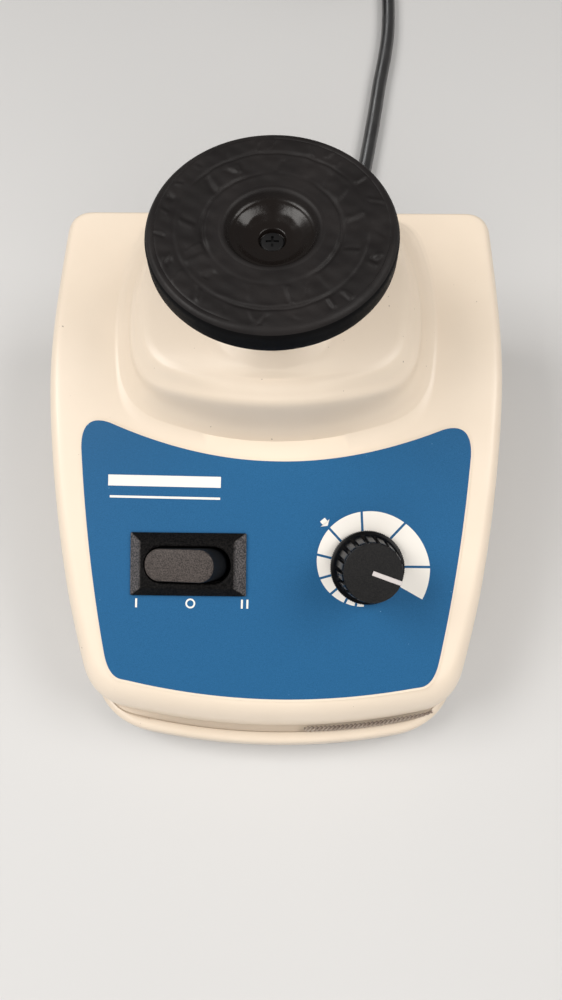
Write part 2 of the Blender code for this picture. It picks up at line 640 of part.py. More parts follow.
def make_rotor(rotor):
    """Everything that turns with the motor shaft, in coordinates centred on its axis."""
    inner = SHAFT_R + RUN
    add_node("motor_shaft", turned([(SHAFT_R, 0.0140), (SHAFT_R, 0.0935)], 16), STEEL, rotor)
    core = ring_solid(inner, BORE_R - AIR_GAP, STACK_Z[0] + 0.0010, STACK_Z[1] - 0.0010, 32)
    add_node("rotor_core", core, IRON, rotor)
    blades = 7
    points = []
    for blade in range(blades):
        for offset, radius in ((0.00, 0.0085), (0.20, 0.0240), (0.42, 0.0240), (0.62, 0.0085)):
            angle = 2 * math.pi * (blade + offset) / blades
            points.append((radius * math.cos(angle), radius * math.sin(angle)))
    fan = add_node("cooling_fan", prism(points, 0.0165, 0.0245), BLACK, rotor)
    boolean(fan, [turned([(inner, 0.01), (inner, 0.03)], 16)])
    hub_low, hub_high, pin_top = 0.0817, 0.0985, 0.1160
    pin = [(0.0050, hub_high), (0.0050, pin_top)]
    rings = [[(0, 0, 0.0940)] * 24, circle(inner, 0.0940, 24), circle(inner, hub_low, 24),
             circle(0.0150, hub_low, 24), circle(0.0150, hub_high, 24)]
    rings += [circle(r, z, 24, (0, ORBIT)) for r, z in pin] + [[(0, ORBIT, pin_top)] * 24]
    hub = add_node("eccentric_hub", loft(rings), STEEL, rotor)
    sideways = Matrix.Translation((0, 0, 0.0865)) @ Matrix.Rotation(math.radians(90), 4, "Y")
    boolean(hub, [moved(turned([(0.0018, 0.0045), (0.0018, 0.02)], 8), sideways)])
    add_node("hub_set_screw", moved(turned([(0.0015, 0.0051), (0.0015, 0.0140)], 8), sideways), STEEL, rotor)
    arc = [math.radians(205 + 130 * i / 12) for i in range(13)]
    outer, inner = 0.0205, 0.0153
    points = [(outer * math.cos(a), outer * math.sin(a)) for a in arc]
    points += [(inner * math.cos(a), inner * math.sin(a)) for a in reversed(arc)]
    add_node("counterweight", prism(points, 0.0880, 0.0975), STEEL, rotor)


def make_touch_switch():
    case = box((0.024, -0.0125, BASE_FLOOR_Z + GAP), (0.044, -0.0035, 0.0215))
    body = add_node("touch_switch_body", case, BLACK)
    boolean(body, [box((0.0320, -0.0100, 0.0140), (0.0360, -0.0060, 0.03))])
    axis = empty("plunger_axis", (0.034, -0.008, 0))
    plunger = box((-0.0017, -0.0017, 0.0190), (0.0017, 0.0017, PLATE_Z[0] - GAP))
    add_node("touch_switch_plunger", plunger, ROCKER_GREY, axis)


def make_electronics():
    board = box((-0.040, -0.0770, BOARD_Z), (0.040, -0.0330, BOARD_Z + 0.0016))
    add_node("circuit_board", board, GREEN)
    top = BOARD_Z + 0.0016 + GAP
    high = top + 0.016
    profile = [
        (0.0300, top), (0.0330, top), (0.0330, high),
        (0.0315, high), (0.0315, top + 0.0015), (0.0300, top + 0.0015),
    ]
    rings = [[(x, y, z) for x, z in profile] for y in (-0.066, -0.044)]
    add_node("triac_heatsink", loft(rings), ALUMINIUM)
    add_node("suppression_capacitor", box((-0.006, -0.063, top), (0.018, -0.053, top + 0.011)), CAPACITOR)


# ---------------------------------------------------------------- head


def make_head(head):
    """The orbiting head, in coordinates centred on the crank pin."""
    add_node("head_bearing", ring_solid(0.0050 + RUN, 0.0107, 0.1020, 0.1120, 24), STEEL, head)
    carrier = [
        (0, 0.1190), (0.0062, 0.1190), (0.0062, 0.1132), (0.0110, 0.1132), (0.0110, 0.1012),
        (0.0130, 0.1012), (0.0130, 0.1310), (0.0190, 0.1350), (0.0190, 0.1408), (0.0024, 0.1408),
        (0.0024, 0.1240), (0, 0.1240),
    ]
    add_node("head_carrier", turned(carrier, 24), ALUMINIUM, head)
    under = HEAD_TOP - 0.0088
    add_node("head_platform", ring_solid(0.0157, 0.0340, under, HEAD_TOP - 0.0043, 40), ALUMINIUM, head)
    top = HEAD_TOP
    rubber = [
        (HEAD_R - 0.0035, under), (HEAD_R - 0.0006, under), (HEAD_R, under + 0.0008), (HEAD_R, top - 0.0016),
        (HEAD_R - 0.0016, top - 0.0004), (0.0290, top - 0.0004), (0.0286, top - 0.0012),
        (0.0205, top - 0.0012), (0.0201, top - 0.0004), (0.0160, top - 0.0004), (0.0147, top),
        (0.0125, top - 0.0006), (0.0108, top - 0.0040), (0.0092, top - 0.0062), (0.0060, top - 0.0073),
        (0.0027, top - 0.0074),
        (0.0027, under), (0.0153, under), (0.0153, top - 0.0040), (HEAD_R - 0.0038, top - 0.0040),
    ]
    add_node("rubber_head", turned(rubber, 36, True), RUBBER, head, sharp=0.9)
    screw = [(0.0021, 0.1260), (0.0021, top - 0.0070), (0.0040, top - 0.0070), (0.0040, top - 0.0056),
             (0.0032, top - 0.0050)]
    add_node("head_screw", turned(screw, 12), STEEL, head)


def make_neck_seal():
    low, high = PLATEAU_Z - SKIN_DROP, PLATEAU_Z + 0.0048
    lip = PLATEAU_Z + 0.0034
    profile = [(0.0150, low), (0.0162, low), (0.0162, lip), (0.0180, lip), (0.0180, high), (0.0150, high)]
    add_node("neck_seal", turned(profile, 32, True, centre=(0, MOTOR_Y)), RUBBER)


# ---------------------------------------------------------------- cord


def smooth_route(points, spacing):
    """Evenly spaced points on a smooth curve through the route's own points."""
    route = [Vector(p) for p in points]
    padded = [2 * route[0] - route[1], *route, 2 * route[-1] - route[-2]]
    fine = []
    for a, b, c, d in zip(padded, padded[1:], padded[2:], padded[3:]):
        for step in range(12):
            t = step / 12
            fine.append(0.5 * (2 * b + (c - a) * t + (2 * a - 5 * b + 4 * c - d) * t**2
                               + (3 * b - a - 3 * c + d) * t**3))
    fine.append(route[-1])
    lengths = [0.0]
    for a, b in zip(fine, fine[1:]):
        lengths.append(lengths[-1] + (b - a).length)
    count = max(2, round(lengths[-1] / spacing))
    even, at = [], 0
    for index in range(count + 1):
        wanted = lengths[-1] * index / count
        while at < len(fine) - 2 and lengths[at + 1] < wanted:
            at += 1
        even.append(fine[at].lerp(fine[at + 1], (wanted - lengths[at]) / (lengths[at + 1] - lengths[at])))
    return even


def cord_tube(name, route):
    points = smooth_route(route, 4 * CORD_R)
    curve = bpy.data.curves.new(name, "CURVE")
    curve.dimensions = "3D"
    spline = curve.splines.new("POLY")
    spline.points.add(len(points) - 1)
    for point, place in zip(spline.points, points):
        point.co = (*place, 1)
    curve.bevel_depth = CORD_R
    curve.bevel_resolution = 2
    curve.use_fill_caps = True
    curve.materials.append(BLACK)
    made = bpy.data.objects.new(name, curve)
    bpy.context.scene.collection.objects.link(made)


def make_cord():
    relief = [(0.0066, -0.0060), (0.0066, 0.0), (0.0090, GAP), (0.0090, 0.0030), (0.0068, 0.0038),
              (0.0051, RELIEF_LENGTH)]
    add_node("strain_relief", moved(turned(relief, 16), RELIEF_FRAME), BLACK)
    cord_tube("power_cord", CORD_ROUTE)
    inner, outer = COIL_RADII[0] - CORD_R, COIL_RADII[1] + CORD_R
    height = 2 * CORD_R * COIL_LAYERS
    add_node("cord_coil", ring_solid(inner, outer, 0.0, height, 36, COIL_CENTRE.xy), BLACK)
    cord_tube("cord_tail", TAIL_ROUTE)
    frame = empty("plug_frame", (0, 0, 0))
    frame.matrix_world = (
        Matrix.Translation(Vector(TAIL_ROUTE[-1])) @ Matrix.Rotation(PLUG_ANGLE, 4, "Z") @ RELIEF_TURN
    )
    sections = ((0.0050, 0.0050, 3 * GAP), (0.0056, 0.0054, 0.010), (0.0120, 0.0090, 0.016),
                (0.0130, 0.0102, 0.030), (0.0125, 0.0098, 0.034))
    rings = [[(x * math.cos(a), y * math.sin(a), z) for a in (2 * math.pi * i / 16 for i in range(16))]
             for x, y, z in sections]
    add_node("plug_body", loft(rings), BLACK, frame)
    face = sections[-1][2] + GAP
    prongs = add_node("plug_prongs", turned([(0.0085, face), (0.0085, face + 0.0010)], 12), BRASS, frame)
    blades = [box((x - 0.00075, -0.0062, face + 0.0005), (x + 0.00075, 0.0002, face + 0.0175))
              for x in (-0.00635, 0.00635)]
    ground = [(0.0023, face + 0.0005), (0.0023, face + 0.0180), (0.0015, face + 0.0200)]
    boolean(prongs, [*blades, moved(turned(ground, 10), Matrix.Translation((0, 0.0060, 0)))], "UNION")


make_housing()
make_base()
make_gasket()
make_feet()
make_base_screws()
make_overlay()
make_switch()
make_speed_control()
make_guides()
carriage_axis = empty("carriage_axis", (0, 0, 0))
make_motor(carriage_axis)
make_rotor(empty("rotor_axis", (0, MOTOR_Y, 0)))
make_touch_switch()
make_electronics()
make_head(empty("head_axis", (0, HEAD_Y, 0)))
make_neck_seal()
make_cord()
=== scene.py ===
"""Looks of the bench vortex mixer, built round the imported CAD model.

Metres, +Z up, the front faces -Y, and the origin is on the bench under the middle of the body. The
body surfaces are finer meshes on the CAD's outlines; where one differs, its size says so.
"""

import math
import random

import bmesh
import bpy
from mathutils import Matrix, Vector


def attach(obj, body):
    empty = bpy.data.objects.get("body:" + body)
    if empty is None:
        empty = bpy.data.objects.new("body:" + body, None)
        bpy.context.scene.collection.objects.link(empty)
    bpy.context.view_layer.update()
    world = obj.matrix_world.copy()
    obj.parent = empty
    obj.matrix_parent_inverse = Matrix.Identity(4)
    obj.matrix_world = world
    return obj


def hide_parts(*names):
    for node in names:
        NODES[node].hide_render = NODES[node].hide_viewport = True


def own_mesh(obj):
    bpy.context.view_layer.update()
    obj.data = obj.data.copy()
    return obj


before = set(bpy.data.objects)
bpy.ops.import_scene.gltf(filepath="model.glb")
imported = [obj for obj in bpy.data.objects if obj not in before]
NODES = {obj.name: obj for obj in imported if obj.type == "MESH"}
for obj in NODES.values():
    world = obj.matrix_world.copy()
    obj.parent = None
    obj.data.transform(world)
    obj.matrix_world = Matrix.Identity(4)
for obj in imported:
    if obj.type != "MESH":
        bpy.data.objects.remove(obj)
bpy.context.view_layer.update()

# ---- driving sizes, as in the CAD unless noted

GAP = 0.0003  # clearance between neighbouring pieces

FOOT_TOP = 0.006
BASE_LEDGE_Z = 0.0174
SEAM_Z = 0.020
PLATEAU_EDGE_Z = 0.106
PLATEAU_Z = 0.108
WALL = 0.003
SKIN_DROP = 0.0032
NECK_R = 0.0160  # half a millimetre inside the CAD's opening, so that the seal's edge stays hidden
COLLAR_R = 0.0222
COLLAR_RISE = 0.0008  # how far the collar's foot stands over the plateau

PANEL_TILT = math.radians(22.6)
PANEL_Y = -0.041
PANEL_Z = 0.0607
DECK_Z = 0.089
DECK_BLEND = 0.004

# Outlines seen from above: half-widths from rear to front, the front edge, how far the front corners
# lie behind it, the rear edge, and the front and rear corner radii. The base's front corners are tucked in
# a little further than the CAD's.
HOUSING = ((0.0852, 0.0862, 0.0867, 0.0688), -0.0936, 0.0088, 0.1002, 0.010, 0.010)
DECK_EDGE = ((0.0807, 0.0817, 0.0822, 0.0640), -0.0870, 0.0095, 0.0968, 0.008, 0.007)
HUMP_FOOT = ((0.0520, 0.0633, 0.0602, 0.0560), 0.0008, 0.0117, 0.0945, 0.014, 0.010)
HUMP_TOP = ((0.0375, 0.0470, 0.0475, 0.0420), 0.0103, 0.0080, 0.0870, 0.010, 0.008)
BASE = ((0.0850, 0.0860, 0.0860, 0.0682), -0.1000, 0.0088, 0.1005, 0.019, 0.012)
OUTLINE_STEPS = (14, 12, 28, 12, 10)  # points along the front, corner, side, corner and rear of one half

# The hump's flank in front and at its sides: how far out and how far down, as shares
HUMP_FRONT = ((0.25, 0.03), (0.50, 0.11), (0.75, 0.25), (0.81, 0.70), (0.92, 0.89), (1.0, 1.0))
HUMP_SIDE = ((0.12, 0.08), (0.28, 0.35), (0.39, 0.50), (0.48, 0.65), (0.73, 0.88), (1.0, 1.0))

SCREW_PLACES = [(-0.050, -0.066), (0.050, -0.066), (-0.070, 0.078), (0.070, 0.078)]
FOOT_PLACES = [(-0.052, -0.082), (0.052, -0.082), (-0.068, 0.058), (0.068, 0.058)]
GUIDE_PLACES = [(-0.043, 0.073), (0.043, 0.073), (0.0, -0.0065)]
BASE_FLOOR_Z = 0.0100
POST_SEAT_Z = 0.0125
SCREW_R = 0.002
BOSS_R = 0.0045  # the screw bosses in the housing and the posts under them in the base

MOTOR_Y = 0.0340
HEAD_Y = 0.0355
HEAD_TOP = 0.150
HEAD_R = 0.0381

KNOB_X = 0.0341
KNOB_UP = -0.0002
SWITCH_X = -0.0309
POT_HOLE_R = 0.0040
SWITCH_HOLE = (0.0187, 0.0091)
BEZEL_HALF = (0.02115, 0.0115)
BEZEL_TOP = 0.0050
BEZEL_SLOPES = (0.0040, 0.0030)  # how wide the end slopes and the long slopes are
OPENING_HALF = (0.01575, 0.00665)
OVERLAY_TOP = 0.0009
ROCKER_PIVOT_Z = -0.0040
ROCKER_TILT = math.radians(13)
POINTER_ANGLE = math.radians(-19.4)

CORD_R = 0.004
CORD_EXIT = Vector((0.0325, 0.1008, 0.030))
RELIEF_LENGTH = 0.026
RELIEF_HOLE_R = 0.0070
COIL_CENTRE = Vector((0.0201, 0.4080, 0))
CORD_ROUTE = (
    (0.0325, 0.1277, 0.0299), (0.0328, 0.1340, 0.0291), (0.0335, 0.1420, 0.0266),
    (0.0345, 0.1510, 0.0219), (0.0359, 0.1610, 0.0162), (0.0377, 0.1715, 0.0109),
    (0.0397, 0.1820, 0.0073), (0.0420, 0.1930, 0.0052), (0.0443, 0.2040, 0.0043),
    (0.0480, 0.2250, 0.0041), (0.0520, 0.2496, 0.0041), (0.0559, 0.2756, 0.0041),
    (0.0597, 0.2976, 0.0041), (0.0626, 0.3196, 0.0041), (0.0639, 0.3440, 0.0041),
    (0.0641, 0.3640, 0.0041), (0.0641, 0.3807, 0.0041),
)
TAIL_ROUTE = (
    (0.0641, 0.4356, 0.0194), (0.0645, 0.4450, 0.0174), (0.0652, 0.4550, 0.0144),
    (0.0662, 0.4640, 0.0117), (0.0674, 0.4716, 0.0110),
)
PLUG_ANGLE = math.radians(-9)

# ---- mesh helpers


def add_object(name, data):
    made = bpy.data.objects.new(name, data)
    bpy.context.scene.collection.objects.link(made)
    return made


def mesh_of(shape):
    bmesh.ops.recalc_face_normals(shape, faces=shape.faces)
    mesh = bpy.data.meshes.new("shape")
    shape.to_mesh(mesh)
    shape.free()
    return mesh


def loft(rings, loop=False):
    """A closed solid through rings of points. Its ends are capped, or meet when it is a loop."""
    shape = bmesh.new()
    made = []
    for ring in rings:
        on_axis = all((Vector(p) - Vector(ring[0])).length < 1e-7 for p in ring)
        made.append([shape.verts.new(p) for p in (ring[:1] if on_axis else ring)])
    pairs = list(zip(made, made[1:] + made[:1])) if loop else list(zip(made, made[1:]))
    for low, high in pairs:
        count = max(len(low), len(high))
        for i in range(count):
            j = (i + 1) % count
            if len(low) == 1:
                corners = (low[0], high[j], high[i])
            elif len(high) == 1:
                corners = (low[i], low[j], high[0])
            else:
                corners = (low[i], low[j], high[j], high[i])
            shape.faces.new(corners)
    if not loop:
        for end in (made[0], made[-1]):
            if len(end) > 2:
                shape.faces.new(end)
    return mesh_of(shape)


def circle(radius, z, count, centre):
    turns = [2 * math.pi * i / count for i in range(count)]
    return [(centre[0] + radius * math.cos(a), centre[1] + radius * math.sin(a), z) for a in turns]


def turned(profile, count, loop=False, centre=(0, 0)):
    """A profile of (radius, z) points turned about a vertical axis."""
    return loft([circle(r, z, count, centre) for r, z in profile], loop)


def box(low, high):
    corners = [(low[0], low[1]), (high[0], low[1]), (high[0], high[1]), (low[0], high[1])]
    return loft([[(x, y, z) for x, y in corners] for z in (low[2], high[2])])


SLOT_HALF = 0.0004  # half the width of a screwdriver's slot


def cross_slots(x, y, reach, low, high):
    """Two crossed slots for a screwdriver."""
    sizes = ((reach, SLOT_HALF), (SLOT_HALF, reach))
    return [box((x - a, y - b, low), (x + a, y + b, high)) for a, b in sizes]


def wire_section(centre, out, across, tall, count):
    """Points round an upright cut through a wire: across along the direction out, and tall along Z."""
    turns = [2 * math.pi * k / count for k in range(count)]
    return [centre + across * math.cos(a) * out + Vector((0, 0, tall * math.sin(a))) for a in turns]


def joined(meshes):
    """Several closed meshes as one mesh of separate shells."""
    shape = bmesh.new()
    for mesh in meshes:
        shape.from_mesh(mesh)
    return mesh_of(shape)


def moved(mesh, matrix):
    mesh.transform(matrix)
    return mesh


def boolean(mesh, others, operation="DIFFERENCE"):
    """The mesh with the other closed meshes cut from it, or joined to it."""
    target = add_object("target", mesh)
    helpers = []
    for other in others:
        helper = add_object("cutter", other)
        modifier = target.modifiers.new("boolean", "BOOLEAN")
        modifier.object = helper
        modifier.operation = operation
        modifier.solver = "EXACT"
        helpers.append(helper)
    graph = bpy.context.evaluated_depsgraph_get()
    result = bpy.data.meshes.new_from_object(target.evaluated_get(graph))
    for used in [target, *helpers]:
        bpy.data.objects.remove(used)
    return result


def rounded_slot(half_length, half_width, radius, z, arc_steps=10, straight_steps=6):
    """A rectangle with rounded corners; a radius near the half-width makes its ends round."""
    corners = ((1, 1), (-1, 1), (-1, -1), (1, -1))
    centres = [Vector((sx * (half_length - radius), sy * (half_width - radius))) for sx, sy in corners]

    def on_arc(centre, turn):
        angle = math.pi / 2 * turn
        return centre + radius * Vector((math.cos(angle), math.sin(angle)))

    points = []
    for quarter, centre in enumerate(centres):
        points += [on_arc(centre, quarter + step / arc_steps) for step in range(arc_steps + 1)]
        start, target = points[-1], on_arc(centres[(quarter + 1) % 4], quarter + 1)
        points += [start.lerp(target, step / straight_steps) for step in range(1, straight_steps)]
    return [(p.x, p.y, z) for p in points]


def smooth_points(points, steps):
    """Points on a smooth curve through the given ones, steps to each stretch."""
    route = [Vector(p) for p in points]
    padded = [2 * route[0] - route[1], *route, 2 * route[-1] - route[-2]]
    fine = []
    for a, b, c, d in zip(padded, padded[1:], padded[2:], padded[3:]):
        for step in range(steps):
            t = step / steps
            bend = (2 * a - 5 * b + 4 * c - d) * t**2 + (3 * b - a - 3 * c + d) * t**3
            fine.append(0.5 * (2 * b + (c - a) * t + bend))
    return [*fine, route[-1]]


def smooth_profile(points, steps=4):
    return [(p.x, p.y) for p in smooth_points([(r, z, 0) for r, z in points], steps)]


def smoothstep(t):
    t = min(max(t, 0.0), 1.0)
    return t * t * (3 - 2 * t)


QUARTER_TURN = [math.radians(degrees) for degrees in range(0, 91, 15)]


# ---- frames of the controls

PANEL_TURN = Matrix.Rotation(PANEL_TILT, 4, "X")


def on_panel(x, up=0.0):
    """A place on the panel's surface, up being the distance up the slope from the controls' row."""
    return Vector((x, PANEL_Y + up * math.cos(PANEL_TILT), PANEL_Z + up * math.sin(PANEL_TILT)))


SWITCH_FRAME = Matrix.Translation(on_panel(SWITCH_X)) @ PANEL_TURN
KNOB_FRAME = Matrix.Translation(on_panel(KNOB_X, KNOB_UP)) @ PANEL_TURN
ROCKER_LEAN = Matrix.Rotation(-ROCKER_TILT, 4, "Y")
ROCKER_FRAME = SWITCH_FRAME @ Matrix.Translation((0, 0, ROCKER_PIVOT_Z)) @ ROCKER_LEAN
RELIEF_TURN = Matrix.Rotation(math.radians(-90), 4, "X")
RELIEF_FRAME = Matrix.Translation(CORD_EXIT) @ RELIEF_TURN


# ---- materials


class Finish:
    """A node material whose colour, roughness and bump vary over the object's own coordinates."""

    def __init__(self, name, roughness, metallic=0.0, **constants):
        self.material = bpy.data.materials.new(name)
        self.material.use_nodes = True
        self.tree = self.material.node_tree
        self.shader = self.tree.nodes["Principled BSDF"]
        self.shader.inputs["Roughness"].default_value = roughness
        self.shader.inputs["Metallic"].default_value = metallic
        for socket, value in constants.items():
            self.shader.inputs[socket.replace("_", " ")].default_value = value
        self.coords = self.tree.nodes.new("ShaderNodeTexCoord").outputs["Object"]

    def node(self, kind, inputs=(), **settings):
        made = self.tree.nodes.new(kind)
        for key, value in settings.items():
            setattr(made, key, value)
        for socket, value in dict(inputs).items():
            if isinstance(value, bpy.types.NodeSocket):
                self.tree.links.new(value, made.inputs[socket])
            else:
                made.inputs[socket].default_value = value
        return made

    def stretched(self, scale):
        """Coordinates scaled differently along each axis, for grain and brush marks."""
        inputs = {"Vector": self.coords, "Scale": scale}
        return self.node("ShaderNodeMapping", inputs).outputs["Vector"]

    def noise(self, scale, detail, vector=None):
        inputs = {"Vector": vector or self.coords, "Scale": scale, "Detail": detail}
        return self.node("ShaderNodeTexNoise", inputs).outputs["Fac"]

    def tracks(self, scale):
        inputs = {"Vector": self.coords, "Scale": scale}
        made = self.node("ShaderNodeTexVoronoi", inputs, feature="DISTANCE_TO_EDGE")
        return made.outputs["Distance"]

    def bands(self, scale, axis, distortion):
        inputs = {"Vector": self.coords, "Scale": scale, "Distortion": distortion}
        made = self.node("ShaderNodeTexWave", inputs, wave_type="BANDS", bands_direction=axis)
        return made.outputs["Fac"]

    def along(self, axis):
        """How far a place lies along an axis from the origin."""
        inputs = {0: self.coords, 1: tuple(axis)}
        return self.node("ShaderNodeVectorMath", inputs, operation="DOT_PRODUCT").outputs["Value"]

    def spread(self, value, low, high, to_low=0.0, to_high=1.0):
        inputs = {"Value": value, "From Min": low, "From Max": high, "To Min": to_low, "To Max": to_high}
        return self.node("ShaderNodeMapRange", inputs, clamp=True).outputs["Result"]

    def mix(self, factor, first, second):
        made = self.node("ShaderNodeMix", data_type="RGBA")
        for index, value in ((0, factor), (6, first), (7, second)):
            if isinstance(value, bpy.types.NodeSocket):
                self.tree.links.new(value, made.inputs[index])
            else:
                made.inputs[index].default_value = (*value, 1) if index else value
        return made.outputs[2]

    def add(self, first, second, operation="ADD"):
        return self.node("ShaderNodeMath", {0: first, 1: second}, operation=operation).outputs[0]

    def colour(self, value):
        self.tree.links.new(value, self.shader.inputs["Base Color"])
        return self

    def rough(self, value):
        self.tree.links.new(value, self.shader.inputs["Roughness"])
        return self

    def mottle(self, dark, light):
        """A colour that drifts between two tones."""
        return self.mix(self.spread(self.noise(38, 3), 0.3, 0.7), dark, light)

    def wear(self, scale, low, high, detail=3):
        """Roughness that drifts between two values."""
        return self.rough(self.spread(self.noise(scale, detail), 0.3, 0.7, low, high))

    def bump(self, height, distance):
        inputs = {"Height": height, "Distance": distance, "Strength": 1.0}
        made = self.node("ShaderNodeBump", inputs)
        self.tree.links.new(made.outputs["Normal"], self.shader.inputs["Normal"])
        return self


def plastic(name, light, dark, roughness, swing, grain, depth):
    """Moulded plastic: mottled colour, uneven gloss and a fine surface grain."""
    made = Finish(name, roughness)
    made.colour(made.mottle(dark, light))
    made.wear(24, roughness - swing, roughness + swing, 4)
    return made.bump(made.noise(grain, 2), depth)


def sparked(name, light, dark, roughness, grain, depth, shine=0.35):
    """Spark-eroded mould texture: rounded pits that catch the light one by one."""
    made = Finish(name, roughness, Specular_IOR_Level=shine)
    fine = made.noise(grain, 3)
    made.colour(made.mix(made.spread(fine, 0.40, 0.62), dark, light))
    made.wear(60, roughness - 0.06, roughness + 0.06)
    return made.bump(fine, depth)


def rubber(name, base, dust, roughness, grain, depth, shine=0.4):
    """Rubber with pale handling dust in soft patches and a fine matte grain."""
    made = Finish(name, roughness, Specular_IOR_Level=shine)
    patches = made.spread(made.noise(55, 5), 0.44, 0.74)
    made.colour(made.mix(patches, base, dust))
    made.wear(80, roughness - 0.08, roughness + 0.1)
    return made.bump(made.noise(grain, 3), depth)


def brushed(name, light, dark, roughness, stretch, depth):
    """Metal with fine marks that run one way."""
    made = Finish(name, roughness, 1.0)
    marks = made.noise(1.0, 3, made.stretched(stretch))
    made.colour(made.mix(made.spread(marks, 0.3, 0.7), dark, light))
    made.wear(90, roughness - 0.08, roughness + 0.08)
    return made.bump(marks, depth)


def banded(name, light, dark, roughness, scale, depth):
    """Stacked sheets or wound wire: fine even bands."""
    made = Finish(name, roughness, 1.0)
    bands = made.bands(scale, "Z", 0.6)
    made.colour(made.mix(made.spread(bands, 0.1, 0.6), dark, light))
    return made.bump(bands, depth)


def cream_finish(name, roughness, shade=1.0):
    """Warm cream plastic with a soft sheen and the odd speck of dirt."""
    light, dark = (tuple(shade * c for c in tone) for tone in ((0.83, 0.715, 0.585), (0.805, 0.690, 0.560)))
    made = Finish(name, roughness, Coat_Weight=0.15, Coat_Roughness=0.25)
    specks = made.spread(made.noise(640, 1), 0.800, 0.825)
    made.colour(made.mix(specks, made.mottle(dark, light), (0.40, 0.32, 0.25)))
    made.wear(24, roughness - 0.05, roughness + 0.05, 4)
    return made.bump(made.noise(1500, 2), 0.000012)


def overlay_finish():
    """Printed polyester film: fine velvet grain over the ink, with very few pale scuffs."""
    made = Finish("blue_overlay", 0.50, Specular_IOR_Level=0.28)
    grain = made.noise(3200, 2)
    tone = made.mix(made.spread(grain, 0.32, 0.68), (0.007, 0.088, 0.218), (0.014, 0.116, 0.272))
    scuffs = made.spread(made.noise(900, 1), 0.815, 0.84)
    made.colour(made.mix(scuffs, tone, (0.16, 0.34, 0.52)))
    made.wear(30, 0.45, 0.56, 4)
    return made.bump(grain, 0.00002)


def head_finish():
    """The head's rubber: matte on top, with painted shade making it darker below its rim, and polished by
    tubes inside the cup.
    """
    made = Finish("head_rubber", 0.6, Specular_IOR_Level=0.30)
    centre = {0: made.stretched((1, 1, 0)), 1: (0, HEAD_Y, 0)}
    away = made.node("ShaderNodeVectorMath", centre, operation="DISTANCE").outputs["Value"]
    patches = made.spread(made.noise(60, 5), 0.42, 0.75)
    matte = made.mix(patches, (0.0085, 0.0070, 0.0070), (0.0165, 0.0138, 0.0135))
    inside = made.spread(away, 0.0125, 0.0145, 1.0, 0.0)
    height = made.node("ShaderNodeSeparateXYZ", {"Vector": made.coords}).outputs["Z"]
    # Painted shade: below the rim's upper edge the colour fades to near black.
    below = made.spread(height, HEAD_TOP - 0.0042, HEAD_TOP - 0.0022, 1.0, 0.0)
    outside = made.mix(below, matte, (0.0035, 0.0035, 0.004))
    made.colour(made.mix(inside, outside, (0.0090, 0.0068, 0.0060)))
    worn = made.spread(made.noise(90, 3), 0.3, 0.7, 0.48, 0.64)
    made.rough(made.add(worn, made.add(inside, 0.32, "MULTIPLY"), "SUBTRACT"))
    return made.bump(made.noise(900, 3), 0.00004)


def bezel_finish():
    """Coarsely textured black plastic, with painted light turning the two end slopes grey."""
    made = Finish("bezel_plastic", 0.50)
    inverse = SWITCH_FRAME.inverted()
    reaches = []
    for row, half, slope in zip(inverse, BEZEL_HALF, BEZEL_SLOPES):
        place = made.along(row[:3])
        away = made.add(made.add(place, row[3]), 0.0, "ABSOLUTE")
        reaches.append(made.add(away, half - slope, "SUBTRACT"))
    mitre = made.add(made.add(reaches[1], 0.0, "MAXIMUM"), 1.33, "MULTIPLY")
    # Painted light: this mask picks out the two end slopes, which get a grey tone and more shine than the
    # rest.
    ends = made.spread(made.add(reaches[0], mitre, "SUBTRACT"), -0.0005, 0.0006)
    grains = made.spread(made.noise(1700, 3), 0.40, 0.64)
    plain = made.mix(grains, (0.0010, 0.0010, 0.0012), (0.0100, 0.0092, 0.0090))
    painted_light_tone = made.mix(grains, (0.016, 0.0145, 0.014), (0.150, 0.134, 0.130))
    made.tree.links.new(made.spread(ends, 0, 1, 0.10, 0.7), made.shader.inputs["Specular IOR Level"])
    made.colour(made.mix(ends, plain, painted_light_tone))
    made.wear(60, 0.46, 0.58)
    return made.bump(made.noise(1700, 3), 0.00007)


def rocker_finish():
    """The rocker: a worn, speckled grey-brown face; its sides are coloured much darker, as painted shade."""
    made = Finish("rocker_plastic", 0.60, Specular_IOR_Level=0.30)
    up = ROCKER_FRAME.to_3x3() @ Vector((0, 0, 1))
    face = up.dot(ROCKER_FRAME.translation) + 0.0117
    height = made.along(up)
    speckle = made.spread(made.noise(2300, 3), 0.34, 0.68)
    top = made.mix(speckle, (0.022, 0.018, 0.017), (0.096, 0.080, 0.073))
    # Painted shade: below the face the sides take a dark bluish tone.
    made.colour(made.mix(made.spread(height, face - 0.0003, face + 0.0001), (0.007, 0.0085, 0.011), top))
    made.wear(60, 0.54, 0.66)
    return made.bump(made.noise(1500, 3), 0.00005)


def board_finish():
    made = Finish("circuit_board", 0.4)
    tracks = made.spread(made.tracks(420), 0.03, 0.06)
    made.colour(made.mix(tracks, (0.03, 0.24, 0.08), (0.012, 0.11, 0.035)))
    return made.bump(tracks, 0.00005)


CREAM = cream_finish("cream_plastic", 0.42)
# The base's cream, darker than the housing's: partly its own tone, partly painted shade for the seam band
# under the housing's edge.
CASTING = cream_finish("cream_casting", 0.38, 0.88)
BLUE = overlay_finish()
BLACK = sparked("black_plastic", (0.011, 0.0105, 0.0105), (0.004, 0.004, 0.0045), 0.52, 2200, 0.00003)
GLOSS = sparked(
    "gloss_black_plastic", (0.004, 0.004, 0.0045), (0.002, 0.002, 0.0025), 0.32, 1200, 0.00001, 0.14
)
BEZEL = bezel_finish()
ROCKER = rocker_finish()
HEAD = head_finish()
